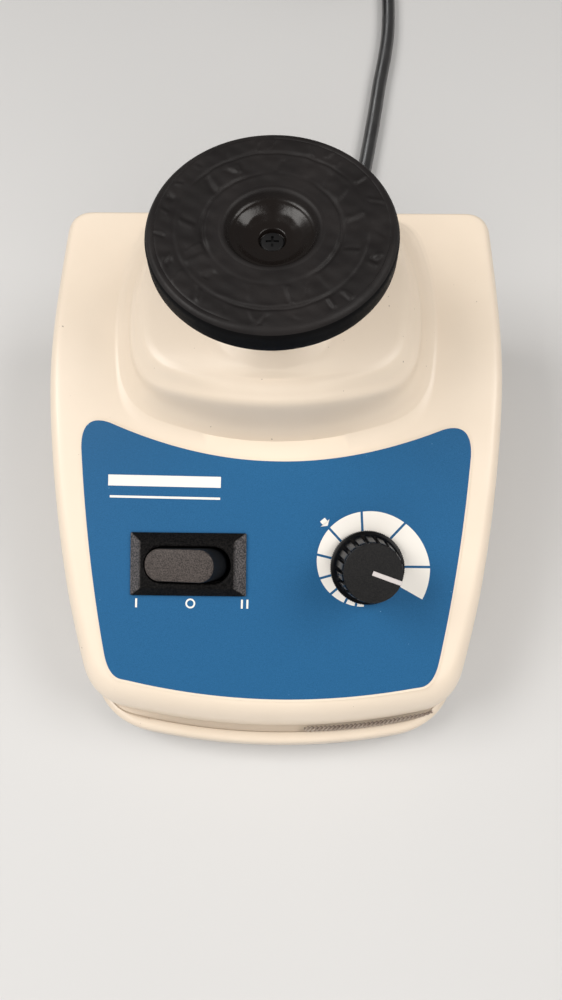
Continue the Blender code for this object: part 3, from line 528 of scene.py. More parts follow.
# The head's side below its rim: the same dusty rubber in a much darker tone, as painted shade.
HEAD_SIDE_SHADED = rubber(
    "head_side_shaded_rubber", (0.0028, 0.0028, 0.0032), (0.0045, 0.0043, 0.0045), 0.62, 900, 0.00004, 0.08
)
RUBBER = rubber("black_rubber", (0.012, 0.0115, 0.0115), (0.028, 0.026, 0.024), 0.62, 1400, 0.00004)
CORD = rubber("cord_sheath", (0.014, 0.014, 0.0145), (0.024, 0.024, 0.024), 0.36, 700, 0.00002, 1.0)
WHITE = plastic("white_ink", (0.87, 0.84, 0.79), (0.84, 0.805, 0.75), 0.5, 0.05, 2600, 0.00001)
POINTER = plastic("pointer_white", (0.62, 0.58, 0.57), (0.52, 0.48, 0.47), 0.5, 0.05, 1800, 0.00003)
BORDER = plastic("clear_border", (0.83, 0.715, 0.585), (0.80, 0.685, 0.555), 0.30, 0.04, 900, 0.00001)
SEAL = rubber("grey_gasket", (0.50, 0.445, 0.38), (0.58, 0.52, 0.45), 0.62, 1200, 0.00004)
STRIP = rubber("strip_braid", (0.27, 0.215, 0.18), (0.55, 0.48, 0.41), 0.45, 1500, 0.00006)
IRON = banded("laminated_iron", (0.30, 0.30, 0.31), (0.12, 0.12, 0.125), 0.45, 620, 0.00012)
STEEL = brushed("steel", (0.60, 0.60, 0.61), (0.44, 0.44, 0.45), 0.30, (60, 60, 2600), 0.00002)
DARK_STEEL = rubber("black_oxide_steel", (0.004, 0.004, 0.0045), (0.007, 0.0065, 0.0065), 0.50, 700, 0.00003)
ALUMINIUM = brushed("aluminium", (0.72, 0.72, 0.74), (0.60, 0.60, 0.62), 0.36, (80, 80, 2200), 0.00003)
COPPER = banded("copper_winding", (0.62, 0.24, 0.09), (0.26, 0.08, 0.03), 0.34, 900, 0.0002)
BRASS = brushed("brass", (0.76, 0.58, 0.26), (0.58, 0.42, 0.17), 0.28, (70, 70, 1800), 0.00002)
BOARD = board_finish()
CAPACITOR = plastic("capacitor_case", (0.62, 0.46, 0.08), (0.55, 0.39, 0.06), 0.35, 0.05, 900, 0.00002)


# ---- pieces


def piece(name, mesh, finish, body, nodes=(), sharp=0.6):
    """A visible piece that rides on a body and may stand for CAD nodes."""
    made = add_object(name, mesh)
    mesh.materials.clear()
    mesh.materials.append(finish.material)
    mesh.shade_smooth()
    mesh.set_sharp_from_angle(angle=sharp)
    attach(made, body)
    if nodes:
        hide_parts(*nodes)
    return made


# ---- body surfaces


def deck_height(y):
    """The sloped panel, which runs smoothly into the flat rear deck."""
    panel = PANEL_Z + math.tan(PANEL_TILT) * (y - PANEL_Y)
    low = min(panel, DECK_Z)
    spread = math.exp(-(panel - low) / DECK_BLEND) + math.exp(-(DECK_Z - low) / DECK_BLEND)
    return low - DECK_BLEND * math.log(spread)


def bezier(points, t):
    while len(points) > 1:
        points = [a.lerp(b, t) for a, b in zip(points, points[1:])]
    return points[0]


def outline(shape, inset=0.0):
    """Points (x, y) round one of the body outlines, anticlockwise from the middle of the front."""
    widths, front, bow, rear, front_radius, rear_radius = shape
    widths = [w - inset for w in widths]
    front, rear = front + inset, rear - inset
    front_radius, rear_radius = (max(r - inset / 2, 0.002) for r in (front_radius, rear_radius))
    corner = Vector((widths[3], front + bow))
    depth = rear - corner.y
    side = [Vector((w, rear - depth * k / 3)) for k, w in enumerate(widths)][::-1]
    front_end = widths[3] - front_radius

    def on_front(x):
        return Vector((x, front + bow * (x / widths[3]) ** 2))

    side_start, side_end = front_radius / depth, 1 - rear_radius / depth
    slope = 2 * bow * front_end / widths[3] ** 2
    turn = Vector((widths[3], on_front(front_end).y + slope * front_radius))
    front_fillet = [on_front(front_end), turn, bezier(side, side_start)]
    rear_fillet = [bezier(side, side_end), Vector((widths[0], rear)), Vector((widths[0] - rear_radius, rear))]
    steps = OUTLINE_STEPS
    half = [on_front(front_end * i / steps[0]) for i in range(steps[0])]
    half += [bezier(front_fillet, i / steps[1]) for i in range(steps[1])]
    half += [bezier(side, side_start + (side_end - side_start) * i / steps[2]) for i in range(steps[2])]
    half += [bezier(rear_fillet, i / steps[3]) for i in range(steps[3])]
    half += [rear_fillet[2].lerp(Vector((0, rear)), i / steps[4]) for i in range(steps[4] + 1)]
    return half + [Vector((-p.x, p.y)) for p in half[-2:0:-1]]


def between(first, second, t):
    return [a.lerp(b, t) for a, b in zip(first, second)]


def level(points, z):
    return [(p.x, p.y, z) for p in points]


def on_deck(points, lower=0.0):
    return [(p.x, p.y, deck_height(p.y) - lower) for p in points]


def on_shoulder(deck, rim, angle, lower=0.0):
    """A ring on the rounded edge between the deck and the wall, by the angle that it has turned through."""
    out, fall = math.sin(angle), 1 - math.cos(angle)
    points = between(deck, rim, out)
    return [(p.x, p.y, deck_height(p.y) - shoulder_depth(p.y) * fall - lower) for p in points]


def neck_ring(radius, guide):
    centre = Vector((0, MOTOR_Y))
    return [centre + radius * (p - centre).normalized() for p in guide]


def shoulder_depth(y):
    """How far the rounded shoulder drops: more where it rolls over the front edge."""
    return 0.008 + 0.006 * min(max((-0.05 - y) / 0.04, 0), 1)


def shares(count):
    return [(i + 1) / count for i in range(count)]


def hump_rings(top, foot, steps, lower):
    """Rings down the hump's flank: steep in front, gentle where it is wide, with a hollow foot."""
    front, side = (
        smooth_points([(0, 0, 0), *((out, fall, 0) for out, fall in line)], steps)
        for line in (HUMP_FRONT, HUMP_SIDE)
    )
    rings = []
    for first, second in list(zip(front, side))[1:]:
        ring = []
        for p, q in zip(top, foot):
            share = min(max(((q - p).length - 0.010) / 0.006, 0), 1)
            out, fall, _ = first.lerp(second, share)
            place = p.lerp(q, out)
            z = PLATEAU_EDGE_Z + (deck_height(place.y) - PLATEAU_EDGE_Z) * fall - lower
            ring.append((place.x, place.y, z))
        rings.append(ring)
    return rings


SEAM_ROUND = 0.0008  # the radius of the housing's lower edge


def outer_skin():
    """Rings of the housing's outside, from the neck down to the seam."""
    top, foot, deck, rim = (outline(s) for s in (HUMP_TOP, HUMP_FOOT, DECK_EDGE, HOUSING))
    collar = smooth_profile([
        (NECK_R, PLATEAU_Z + 0.0031), (0.0164, PLATEAU_Z + 0.0033), (0.0169, PLATEAU_Z + 0.0031),
        (0.0178, PLATEAU_Z + 0.0026), (0.0190, PLATEAU_Z + 0.0020), (0.0205, PLATEAU_Z + 0.0014),
        (COLLAR_R, PLATEAU_Z + COLLAR_RISE),
    ], 3)
    rings = [level(neck_ring(r, top), z) for r, z in collar]
    plateau = neck_ring(COLLAR_R, top)
    for t in shares(12):
        z = PLATEAU_Z + COLLAR_RISE * (1 - t) ** 2 - (PLATEAU_Z - PLATEAU_EDGE_Z) * t**2
        rings.append(level(between(plateau, top, t), z))
    rings += hump_rings(top, foot, 5, 0.0)
    rings += [on_deck(between(foot, deck, t)) for t in shares(16)]
    rings += [on_shoulder(deck, rim, t * math.pi / 2) for t in shares(10)]
    for t in shares(6)[:-1]:
        last = rings[-1]
        rings.append([(x, y, z + (SEAM_Z + SEAM_ROUND - z) * t) for x, y, z in last])
    for degrees in (0, 30, 60, 90):
        angle = math.radians(degrees)
        ring = outline(HOUSING, SEAM_ROUND * (1 - math.cos(angle)))
        rings.append(level(ring, SEAM_Z + SEAM_ROUND * (1 - math.sin(angle))))
    return rings


def inner_skin():
    """Rings of the housing's inside, from the neck down to the seam."""
    top, foot, deck, rim = (outline(s, WALL) for s in (HUMP_TOP, HUMP_FOOT, DECK_EDGE, HOUSING))
    rings = [level(neck_ring(r, top), PLATEAU_Z - SKIN_DROP) for r in (NECK_R, COLLAR_R)]
    rings.append(level(top, PLATEAU_EDGE_Z - SKIN_DROP))
    rings += hump_rings(top, foot, 1, SKIN_DROP)
    rings += [on_deck(between(foot, deck, t), SKIN_DROP) for t in (0.35, 0.7, 1.0)]
    rings += [on_shoulder(deck, rim, math.radians(degrees), SKIN_DROP) for degrees in (45, 90)]
    rings.append(level(rim, SEAM_Z))
    return rings


# ---- enclosure


def control_cutters(low, high):
    """Cutters for the switch's and the knob's openings, between two heights over the panel's surface."""
    x, y = SWITCH_HOLE
    return [
        moved(box((-x, -y, low), (x, y, high)), SWITCH_FRAME),
        moved(turned([(POT_HOLE_R, low), (POT_HOLE_R, high)], 32), KNOB_FRAME),
    ]


def pegs(places, radius, low, high, count=16):
    """Upright cylinders, one at each place."""
    return [turned([(radius, low), (radius, high)], count, centre=place) for place in places]


def make_housing():
    shell = loft(outer_skin() + inner_skin()[::-1], loop=True)
    bosses = []
    for x, y in SCREW_PLACES:
        bosses += pegs([(x, y)], BOSS_R, SEAM_Z + 0.002, deck_height(y) - 0.0015, 24)
    shell = boolean(shell, bosses, "UNION")
    holes = pegs(SCREW_PLACES, SCREW_R + GAP, SEAM_Z - 0.001, SEAM_Z + 0.014)
    holes += control_cutters(-0.010, 0.006)
    holes.append(moved(turned([(RELIEF_HOLE_R, -0.012), (RELIEF_HOLE_R, 0.006)], 32), RELIEF_FRAME))
    piece("housing_shell", boolean(shell, holes), CREAM, "housing", ["upper_housing"], 0.9)


GROOVE_DEPTH = 0.0022  # the channel beside the housing wall, where the seal lies
BASE_LIP = 0.0019  # the radius of the base's upper edge
BASE_FOOT = 0.0025  # the radius of its lower edge
GROOVE_END_X = 0.036  # where the channel starts to run out, and over how much it does
GROOVE_FADE = 0.028
GUIDE_BOSS_R = 0.006
FOOT_BORE_R = 0.0033


def make_base():
    low, high = FOOT_TOP, BASE_LEDGE_Z

    def ring_at(shape, inset, z, groove=0.0):
        """The groove runs out toward the corners."""
        ring = []
        for p in outline(shape, inset):
            deep = 1 - smoothstep((abs(p.x) - GROOVE_END_X) / GROOVE_FADE)
            ring.append((p.x, p.y, z - groove * deep))
        return ring

    def blended(share, z, groove=0.0):
        """A ring that lies between the base's edge and the housing's wall line."""
        pairs = zip(ring_at(BASE, BASE_LIP, z, groove), ring_at(HOUSING, 0.0, z, groove))
        return [tuple(Vector(a).lerp(Vector(b), share)) for a, b in pairs]

    groove = (high - 0.0006, GROOVE_DEPTH - 0.0006)
    rings = []
    for a in QUARTER_TURN:
        rings.append(ring_at(BASE, BASE_FOOT * (1 - math.sin(a)), low + BASE_FOOT * (1 - math.cos(a))))
    rings.append(ring_at(BASE, 0, (low + high) / 2))
    for a in QUARTER_TURN:
        rings.append(ring_at(BASE, BASE_LIP * (1 - math.cos(a)), high - BASE_LIP * (1 - math.sin(a))))
    rings += [blended(0.30, high), blended(0.50, high - 0.0004), blended(0.60, *groove)]
    rings.append(ring_at(HOUSING, WALL + 0.0008, *groove))
    for inset, z in (
        (0.0008, high + 0.0055), (0.0013, high + 0.006), (0.0038, high + 0.006), (0.0038, BASE_FLOOR_Z),
    ):
        rings.append(ring_at(HOUSING, WALL + inset, z))
    posts = pegs(SCREW_PLACES, BOSS_R, BASE_FLOOR_Z - 0.002, SEAM_Z + 0.0015, 24)
    posts += pegs(GUIDE_PLACES, GUIDE_BOSS_R, BASE_FLOOR_Z - 0.002, POST_SEAT_Z, 24)
    holes = pegs(FOOT_PLACES, FOOT_BORE_R, 0, 0.0092, 24)
    recess = [(0.0046, 0), (0.0040, FOOT_TOP + 0.0008), (0.0040, FOOT_TOP + 0.0032)]
    for place in SCREW_PLACES:
        holes += pegs([place], SCREW_R + GAP, 0.001, 0.030)
        holes.append(turned(recess, 32, centre=place))
    holes += pegs(GUIDE_PLACES, 0.0023, 0.0122, 0.020)
    pan = boolean(boolean(loft(rings), posts, "UNION"), holes)
    piece("base_casting", pan, CASTING, "housing", ["base_pan"], 0.7)


def along_outline(shape, start_x, end_x, count):
    """Evenly spaced points on the front of an outline, between two X, with their outward directions."""
    edge = outline(shape)

    def crossing(x):
        index = next(i for i, p in enumerate(edge) if p.x > x)
        before, after = edge[index - 1], edge[index]
        return index, before.lerp(after, (x - before.x) / (after.x - before.x))

    (first, start), (last, end) = crossing(start_x), crossing(end_x)
    path = [start, *edge[first:last], end]
    lengths = [0.0]
    for a, b in zip(path, path[1:]):
        lengths.append(lengths[-1] + (b - a).length)
    places, leg = [], 1
    for index in range(count + 1):
        reach = lengths[-1] * index / count
        while leg < len(path) - 1 and lengths[leg] < reach:
            leg += 1
        share = (reach - lengths[leg - 1]) / (lengths[leg] - lengths[leg - 1])
        along = (path[leg] - path[leg - 1]).normalized()
        places.append((path[leg - 1].lerp(path[leg], share), Vector((along.y, -along.x))))
    return places


STRIP_START, STRIP_END = 0.0122, 0.0622  # the X of the loose strip's ends
STRIP_STEPS = 420
STRAND_R = 0.00050
STRIP_LAY = 0.00054  # how far each strand lies from the middle of the strip
STRIP_TWISTS = 15


def make_gasket():
    """The plain seal round the seam, and the twisted length of it that has worked out onto the ledge."""
    path = outline(HOUSING, 0.0016)
    middle = (BASE_LEDGE_Z + SEAM_Z) / 2
    rings = []
    for index, point in enumerate(path):
        along = (path[(index + 1) % len(path)] - path[index - 1]).normalized()
        centre, out = Vector((point.x, point.y, middle)), Vector((along.y, -along.x, 0))
        rings.append(wire_section(centre, out, 0.0010, 0.0011, 10))
    piece("seam_seal", loft(rings, loop=True), SEAL, "housing", ["seam_gasket"])

    places = along_outline(HOUSING, STRIP_START, STRIP_END, STRIP_STEPS)
    strands = []
    for phase in (0.0, math.pi):
        rings = []
        for index, (point, out) in enumerate(places):
            share = index / STRIP_STEPS
            taper = min(1.0, 40 * share + 0.3, 2.2 * (1 - share) + 0.30) ** 0.5
            angle = phase + 2 * math.pi * STRIP_TWISTS * share
            lay, strand = STRIP_LAY * taper, STRAND_R * taper
            offset = 0.0013 + 0.0003 * math.sin(math.pi * share) + lay * math.cos(angle)
            height = BASE_LEDGE_Z + 0.0006 + lay * (1 + math.sin(angle))
            centre = (point + out * offset).to_3d() + Vector((0, 0, height))
            rings.append(wire_section(centre, out.to_3d(), strand, strand, 8))
        strands.append(loft(rings))
    piece("seam_strip", joined(strands), STRIP, "housing")


def make_feet():
    profile = smooth_profile([
        (0.0066, 0.0), (0.0076, 0.0004), (0.0082, 0.0014), (0.0082, 0.0040), (0.0076, FOOT_TOP - 0.0008),
        (0.0070, FOOT_TOP - GAP),
    ]) + [(0.0030, FOOT_TOP - GAP), (0.0030, 0.0088)]
    for index, place in enumerate(FOOT_PLACES):
        ring = [(0.0035, 0.0), (0.0035, 0.0006), (0.0052, 0.0006), (0.0052, 0.0)]
        mesh = turned([(0, 0.0)] + ring + profile, 48, centre=place)
        piece(f"foot_{index + 1}", mesh, RUBBER, "housing", [f"rubber_foot_{index + 1}"], 0.7)


def make_base_screws():
    profile = [
        (0, FOOT_TOP + 0.0006), (0.0030, FOOT_TOP + 0.0006), (0.0035, FOOT_TOP + 0.0010),
        (0.0036, FOOT_TOP + 0.0028), (SCREW_R, FOOT_TOP + 0.0028), (SCREW_R, SEAM_Z + 0.0120),
    ]
    for index, (x, y) in enumerate(SCREW_PLACES):
        cross = cross_slots(x, y, 0.0022, FOOT_TOP, FOOT_TOP + 0.0018)
        screw = boolean(turned(profile, 32, centre=(x, y)), cross)
        piece(f"screw_{index + 1}", screw, STEEL, "housing", [f"base_screw_{index + 1}"])


# ---- panel overlay and its print


LABEL_MIDDLE = Vector((0.0, -0.040))
LABEL_TURN = Matrix.Rotation(math.radians(-0.7), 2)


def slightly_turned(point):
    """The sheet was laid a little clockwise of square."""
    return LABEL_MIDDLE + LABEL_TURN @ (point - LABEL_MIDDLE)


def overlay_outline(grow=0.0):
    """The blue sheet's edge: sides that narrow to the front, a bowed lower edge, a dished upper edge."""
    low, high, corner_x, bow_end = -0.0866, -0.0801, 0.0595, 0.0552
    steps = 18
    bow = [bow_end * i / steps for i in range(steps)]
    half = [Vector((x, low + (high - low) * (x / corner_x) ** 2)) for x in bow]
    for count, points in (
        (10, ((bow_end, high - 0.0010), (corner_x, high), (0.0612, -0.0730))),  # the lower corner
        (18, ((0.0612, -0.0730), (0.0684, -0.0400), (0.0712, -0.0030))),  # the side
        (14, ((0.0712, -0.0030), (0.0716, 0.0090), (0.0610, 0.0058))),  # the lobe at the upper corner
        (24, ((0.0610, 0.0058), (0.0300, -0.0063), (0.0, -0.0062))),  # the dish
    ):
        half += [bezier([Vector(p) for p in points], i / count) for i in range(count)]
    half.append(Vector((0.0, -0.0062)))
    edge = half + [Vector((-p.x, p.y)) for p in half[-2:0:-1]]
    grown = []
    for index, point in enumerate(edge):
        along = (edge[(index + 1) % len(edge)] - edge[index - 1]).normalized()
        grown.append(slightly_turned(point + grow * Vector((along.y, -along.x))))
    return grown


def sheet_mesh(edge, low, high):
    """A thin sheet inside an edge, at two heights over the panel's surface."""
    middle = LABEL_MIDDLE
    sizes = [0.02] + [i / 22 for i in range(1, 23)]
    rings = []
    for lift, order in ((low, sizes), (high, sizes[::-1])):
        for size in order:
            points = [middle + (p - middle) * size for p in edge]
            rings.append(on_deck(points, -lift))
    return loft(rings)


PRINT_LOW = 0.00072
PRINT_HIGH = 0.00080


def panel_point(x, up, lift):
    """A point given across the panel and up its slope, lifted off its surface."""
    place = on_panel(x, up)
    return (place.x, place.y, deck_height(place.y) + lift)


def printed(shapes):
    """Thin ink shapes. Each shape is a pair of point lists, its one side and its other side."""
    prints = []
    for first, second in shapes:
        edge = [*first, *second[::-1]]
        rings = [[panel_point(x, up, lift) for x, up in edge] for lift in (PRINT_LOW, PRINT_HIGH)]
        shape = bmesh.new()
        low, high = ([shape.verts.new(p) for p in ring] for ring in rings)
        count, half = len(edge), len(first)
        for i in range(count):
            j = (i + 1) % count
            shape.faces.new((low[i], low[j], high[j], high[i]))
        for ring in (low, high):
            for i in range(half - 1):
                shape.faces.new((ring[i], ring[i + 1], ring[count - 2 - i], ring[count - 1 - i]))
        prints.append(mesh_of(shape))
    return joined(prints)


def bar(x, up, width, height):
    """A plain rectangle, centred, square to the sheet."""
    half, tall = width / 2, height / 2
    lower, upper = ([LABEL_TURN @ Vector((a, b)) for a in (-half, half)] for b in (-tall, tall))
    return tuple([(x + p.x, up + p.y) for p in side] for side in (lower, upper))


def ring_shape(x, up, radius, width):
    """Two half rings that make one thin ring."""
    steps = 28
    halves = []
    for start in (0.0, math.pi):
        angles = [start + math.pi * i / steps for i in range(steps + 1)]
        halves.append(tuple(
            [(x + r * math.cos(a), up + r * math.sin(a)) for a in angles] for r in (radius, radius - width)
        ))
    return halves


DIAL_X, DIAL_UP = 0.0332, -0.00035
DIAL_GAPS = (259, 243, 220.5, 196, 166.5, 133, 93, 47, 0)  # degrees anticlockwise from the right
DIAL_START, DIAL_END = 270.5, -29
DIAL_INNER = 0.0105
DIAL_CUT = 0.00045  # half the width of a gap
DIAL_GROWTH = (
    (271, 0.0147), (247, 0.0150), (225, 0.0156), (199, 0.0165), (180, 0.0171), (133, 0.0187), (90, 0.0200),
    (47, 0.0217), (0, 0.0240), (-29, 0.0244),
)


def dial_radius(degrees):
    """The dial's outer radius, which grows with the speed."""
    for (high, small), (low, large) in zip(DIAL_GROWTH, DIAL_GROWTH[1:]):
        if degrees >= low:
            return small + (large - small) * (high - degrees) / (high - low)
    return DIAL_GROWTH[-1][1]


def dial_shapes():
    """The growing fan of white blocks round the speed knob, cut apart by even gaps."""
    ends = [DIAL_START, *DIAL_GAPS, DIAL_END]
    shapes = []
    for index, (high, low) in enumerate(zip(ends, ends[1:])):
        sides = []
        for outer in (True, False):
            radius = dial_radius((high + low) / 2) if outer else DIAL_INNER
            cut = math.degrees(DIAL_CUT / radius)
            start = high - (cut if index else 0)
            end = low + (cut if index < len(ends) - 2 else 0)
            steps = 16
            side = []
            for step in range(steps + 1):
                degrees = start + (end - start) * step / steps
                r = dial_radius(degrees) if outer else DIAL_INNER
                angle = math.radians(degrees)
                side.append((DIAL_X + r * math.cos(angle), DIAL_UP + r * math.sin(angle)))
            sides.append(side)
        shapes.append(tuple(sides))
    return shapes


def arrow_shape(x, up, heading):
    """A short fat arrow, given by its tip and the way it points."""
    turn = Matrix.Rotation(math.radians(heading), 2)
    outline_half = [(-0.0029, 0.0011), (-0.0011, 0.0011), (-0.0014, 0.0021), (0.0, 0.00002)]
    sides = []
    for sign in (1, -1):
        points = [turn @ Vector((a, sign * b)) for a, b in outline_half]
        sides.append([(x + p.x, up + p.y) for p in points])
    return tuple(sides)


LEGEND_UP = -0.0147


def make_overlay():
    border = boolean(sheet_mesh(overlay_outline(0.0008), 0.0002, 0.00042), control_cutters(-0.004, 0.004))
    piece("panel_border", border, BORDER, "housing")
    sheet = boolean(sheet_mesh(overlay_outline(), GAP, 0.0007), control_cutters(-0.004, 0.004))
    piece("panel_sheet", sheet, BLUE, "housing", ["panel_overlay"])
    piece("dial_print", printed(dial_shapes()), WHITE, "housing")
    legend = [
        bar(-0.0500, LEGEND_UP, 0.0007, 0.0033),
        *ring_shape(-0.0301, LEGEND_UP, 0.0018, 0.0006),
        bar(-0.0112, LEGEND_UP, 0.0007, 0.0033),
        bar(-0.0092, LEGEND_UP, 0.0007, 0.0033),
    ]
    title = [bar(-0.0400, 0.0300, 0.0413, 0.0040), bar(-0.0398, 0.0240, 0.0405, 0.0008)]
    arrow = [arrow_shape(0.0198, 0.0143, -49)]
    piece("panel_print", printed(legend + title + arrow), WHITE, "housing")


# ---- switch


def make_switch():
    (x, y), top = BEZEL_HALF, BEZEL_TOP
    hx, hy = OPENING_HALF
    flat_x, flat_y = x - BEZEL_SLOPES[0], y - BEZEL_SLOPES[1]
    rings = [
        rounded_slot(hx + grow, hy + grow, 0.98 * hy, z) for grow, z in (
            (0, OVERLAY_TOP), (0, top - 0.0006), (0.0001, top - 0.00025), (0.0004, top - 0.00005),
            (0.0007, top),
        )
    ]
    rings += [
        rounded_slot(*size) for size in (
            (flat_x - 0.0001, flat_y - 0.0002, 0.0003, top), (flat_x, flat_y, 0.0003, top - 0.0001),
            (x - 0.0003, y - 0.0003, 0.0004, 0.0019), (x, y, 0.0005, 0.0016), (x, y, 0.0005, OVERLAY_TOP),
        )
    ]
    frame_mesh = moved(loft(rings, loop=True), SWITCH_FRAME)
    piece("bezel_frame", frame_mesh, BEZEL, "housing", ["switch_bezel"], 0.4)

    levels = [
        (0.0110, 0.0058, -0.0050), (0.0146, 0.0060, 0.0), (0.0150, 0.0060, 0.0030),
        (0.0144, 0.0060, 0.0065), (0.0137, 0.0060, 0.0095), (0.0133, 0.00595, 0.0110),
    ]
    rings = [rounded_slot(a, b, 0.97 * b, z) for a, b, z in levels]
    for angle in QUARTER_TURN:
        inward = 0.0006 * (1 - math.cos(angle))
        a, b = 0.0132 - inward, 0.0059 - inward
        rings.append(rounded_slot(a, b, 0.96 * b, 0.0113 + 0.0007 * math.sin(angle)))
    key = moved(loft(rings), ROCKER_FRAME)
    piece("rocker_key", key, ROCKER, "rocker", ["rocker"], 0.7)


# ---- knob

KNOB_LOW = 0.0020
KNOB_POINTS = 432
TEETH = 108
FLUTES = 18


def knob_ring(radius, z, tooth=0.0, flute=0.0):
    """A ring of the knob. Teeth are a fine even ripple; flutes are slots between flat ribs."""
    points = []
    for i in range(KNOB_POINTS):
        angle = 2 * math.pi * i / KNOB_POINTS
        ripple = 0.5 - 0.5 * math.cos(TEETH * angle)
        wave = 0.5 + 0.5 * math.cos(FLUTES * angle)
        slot = smoothstep((wave - 0.60) / 0.2)
        r = radius - tooth * ripple - flute * slot
        points.append((r * math.cos(angle), r * math.sin(angle), z))
    return points


def make_knob():
    low, roof, seat = KNOB_LOW, 0.0186, 0.0225
    rows = [  # radius, height, tooth and flute, from the hollow out, up the side and over the top
        (0.0032, roof), (0.0032, 0.0076), (0.0064, 0.0075), (0.0064, low), (0.0128, low),
        (0.0132, low + 0.0003, 0.00015), (0.0134, low + 0.0009, 0.0002), (0.0134, low + 0.0030, 0.0002),
        (0.0132, low + 0.0034, 0.0001), (0.0128, low + 0.0036), (0.0121, low + 0.0037),
        (0.0118, low + 0.0041), (0.0115, low + 0.0049, 0, 0.0007), (0.01138, low + 0.0056, 0, 0.0012),
        (0.0109, 0.0150, 0, 0.0012), (0.01045, 0.0214, 0, 0.0011), (0.01035, 0.0222, 0, 0.0008),
        (0.0102, 0.0227, 0, 0.0002), (0.0099, 0.0229), (0.0086, 0.0229), (0.0086, seat),
    ]
    ends = [[(0.0, 0.0, z)] * KNOB_POINTS for z in (roof, seat)]
    grip = moved(loft([ends[0], *(knob_ring(*row) for row in rows), ends[1]]), KNOB_FRAME)
    piece("knob_grip", grip, GLOSS, "knob", ["knob_body"], 0.5)

    line = Matrix.Rotation(POINTER_ANGLE, 4, "Z")
    disc = turned([
        (0, 0.0227), (0.0084, 0.0227), (0.0084, 0.0231), (0.0098, 0.0231), (0.0100, 0.0233), (0.0100, 0.0242),
        (0.00992, 0.0243), (0.0098, 0.02437), (0, 0.0244),
    ], 144)
    slot = moved(box((-0.0004, -0.00082, 0.0239), (0.0125, 0.00082, 0.026)), line)
    cap = moved(boolean(disc, [slot]), KNOB_FRAME)
    piece("knob_disc", cap, BLACK, "knob", ["knob_cap"], 0.5)

    half, top, end = 0.00078, 0.02462, 0.0099
    section = [
        (-half, 0.02392), (half, 0.02392), (half, top - 0.0001), (half * 0.8, top), (-half * 0.8, top),
        (-half, top - 0.0001),
    ]
    rings = [[(x, y, z) for y, z in section] for x in (-0.0002, end)]
    rings.append([(end + 0.0003, y * 0.9, z - 0.00008) for y, z in section])
    mark = moved(moved(loft(rings), line), KNOB_FRAME)
    piece("pointer_line", mark, POINTER, "knob", ["knob_pointer"], 0.5)


# ---- head

HEAD_STEPS = 720
HEAD_DEPTH = 0.0088
RIB_BANDS = ((25, 0.0298, 0.0352), (17, 0.0213, 0.0286))  # how many, from and to which radius
MOULDED_CIRCLES = (  # radius, width, height and where round the head it shows most
    (0.0354, 0.0004, -0.00040, 0.4), (0.0293, 0.0006, -0.00060, 4.4), (0.0208, 0.0007, -0.00070, 2.0),
    (0.0200, 0.0009, 0.00016, 2.6), (0.0284, 0.0009, 0.00018, 4.9),
)
CUP_EDGE = 0.0150  # inside this radius the top is the plain cup
CUP_LOBES = (0.0036, 0.0124, 0.00013)  # the cup's six soft lobes: from and to which radius, and how high
DICE = random.Random(7)


def cast_ribs():
    """Short raised lines in two zones of the rubber: uneven in place, slant, length and height."""
    ribs = []
    for count, low, high in RIB_BANDS:
        for index in range(count):
            angle = 2 * math.pi * (index + DICE.uniform(-0.5, 0.5)) / count
            start = low + DICE.uniform(-0.0004, 0.0018)
            end = high - DICE.uniform(-0.0004, 0.0018)
            tall = DICE.uniform(0.00008, 0.00040) * DICE.choice((1, 1, -1))
            slant, width = DICE.uniform(-0.12, 0.12), DICE.uniform(0.0007, 0.0015)
            ribs.append((angle, start, end, tall, slant, width))
    return ribs


RIBS = cast_ribs()


def rib_height(radius, angle):
    """Each line is a ridge with a furrow beside it."""
    total = 0.0
    for place, start, end, tall, slant, width in RIBS:
        if not start - 0.001 < radius < end + 0.001:
            continue
        window = smoothstep((radius - start) / 0.0012) * smoothstep((end - radius) / 0.0012)
        away = (angle - place - slant * (radius - start) / 0.006 + math.pi) % (2 * math.pi) - math.pi
        near = away * radius / width
        if abs(near) < 4:
            total += window * tall * 1.9 * (0.35 + near) * math.exp(-near * near)
    return total


def worn_share(angle, phase):
    """How plainly a moulded circle shows at an angle: it fades in and out round the head."""
    wave = math.sin(2 * angle + phase) + 0.5 * math.sin(5 * angle + 2.1 * phase)
    return 0.12 + 0.88 * smoothstep(0.5 + 0.6 * wave)


def head_relief(radius, angle):
    """Moulded circles, ribs and slow waves on the rubber's top, over its plain profile."""
    lift = rib_height(radius, angle)
    for at, width, tall, phase in MOULDED_CIRCLES:
        lift += tall * worn_share(angle, phase) * math.exp(-(((radius - at) / width) ** 2))
    fade = smoothstep((radius - CUP_EDGE) / 0.004) * smoothstep((0.0365 - radius) / 0.003)
    x, y = radius * math.cos(angle), radius * math.sin(angle)
    slow = math.sin(410 * x + 1.0) * math.sin(360 * y + 0.4) + 0.6 * math.sin(720 * x - 430 * y)
    slow += 0.8 * math.sin(1150 * y + 330 * x + 0.8) * math.sin(520 * x - 1.2)
    return lift + 0.00012 * fade * slow


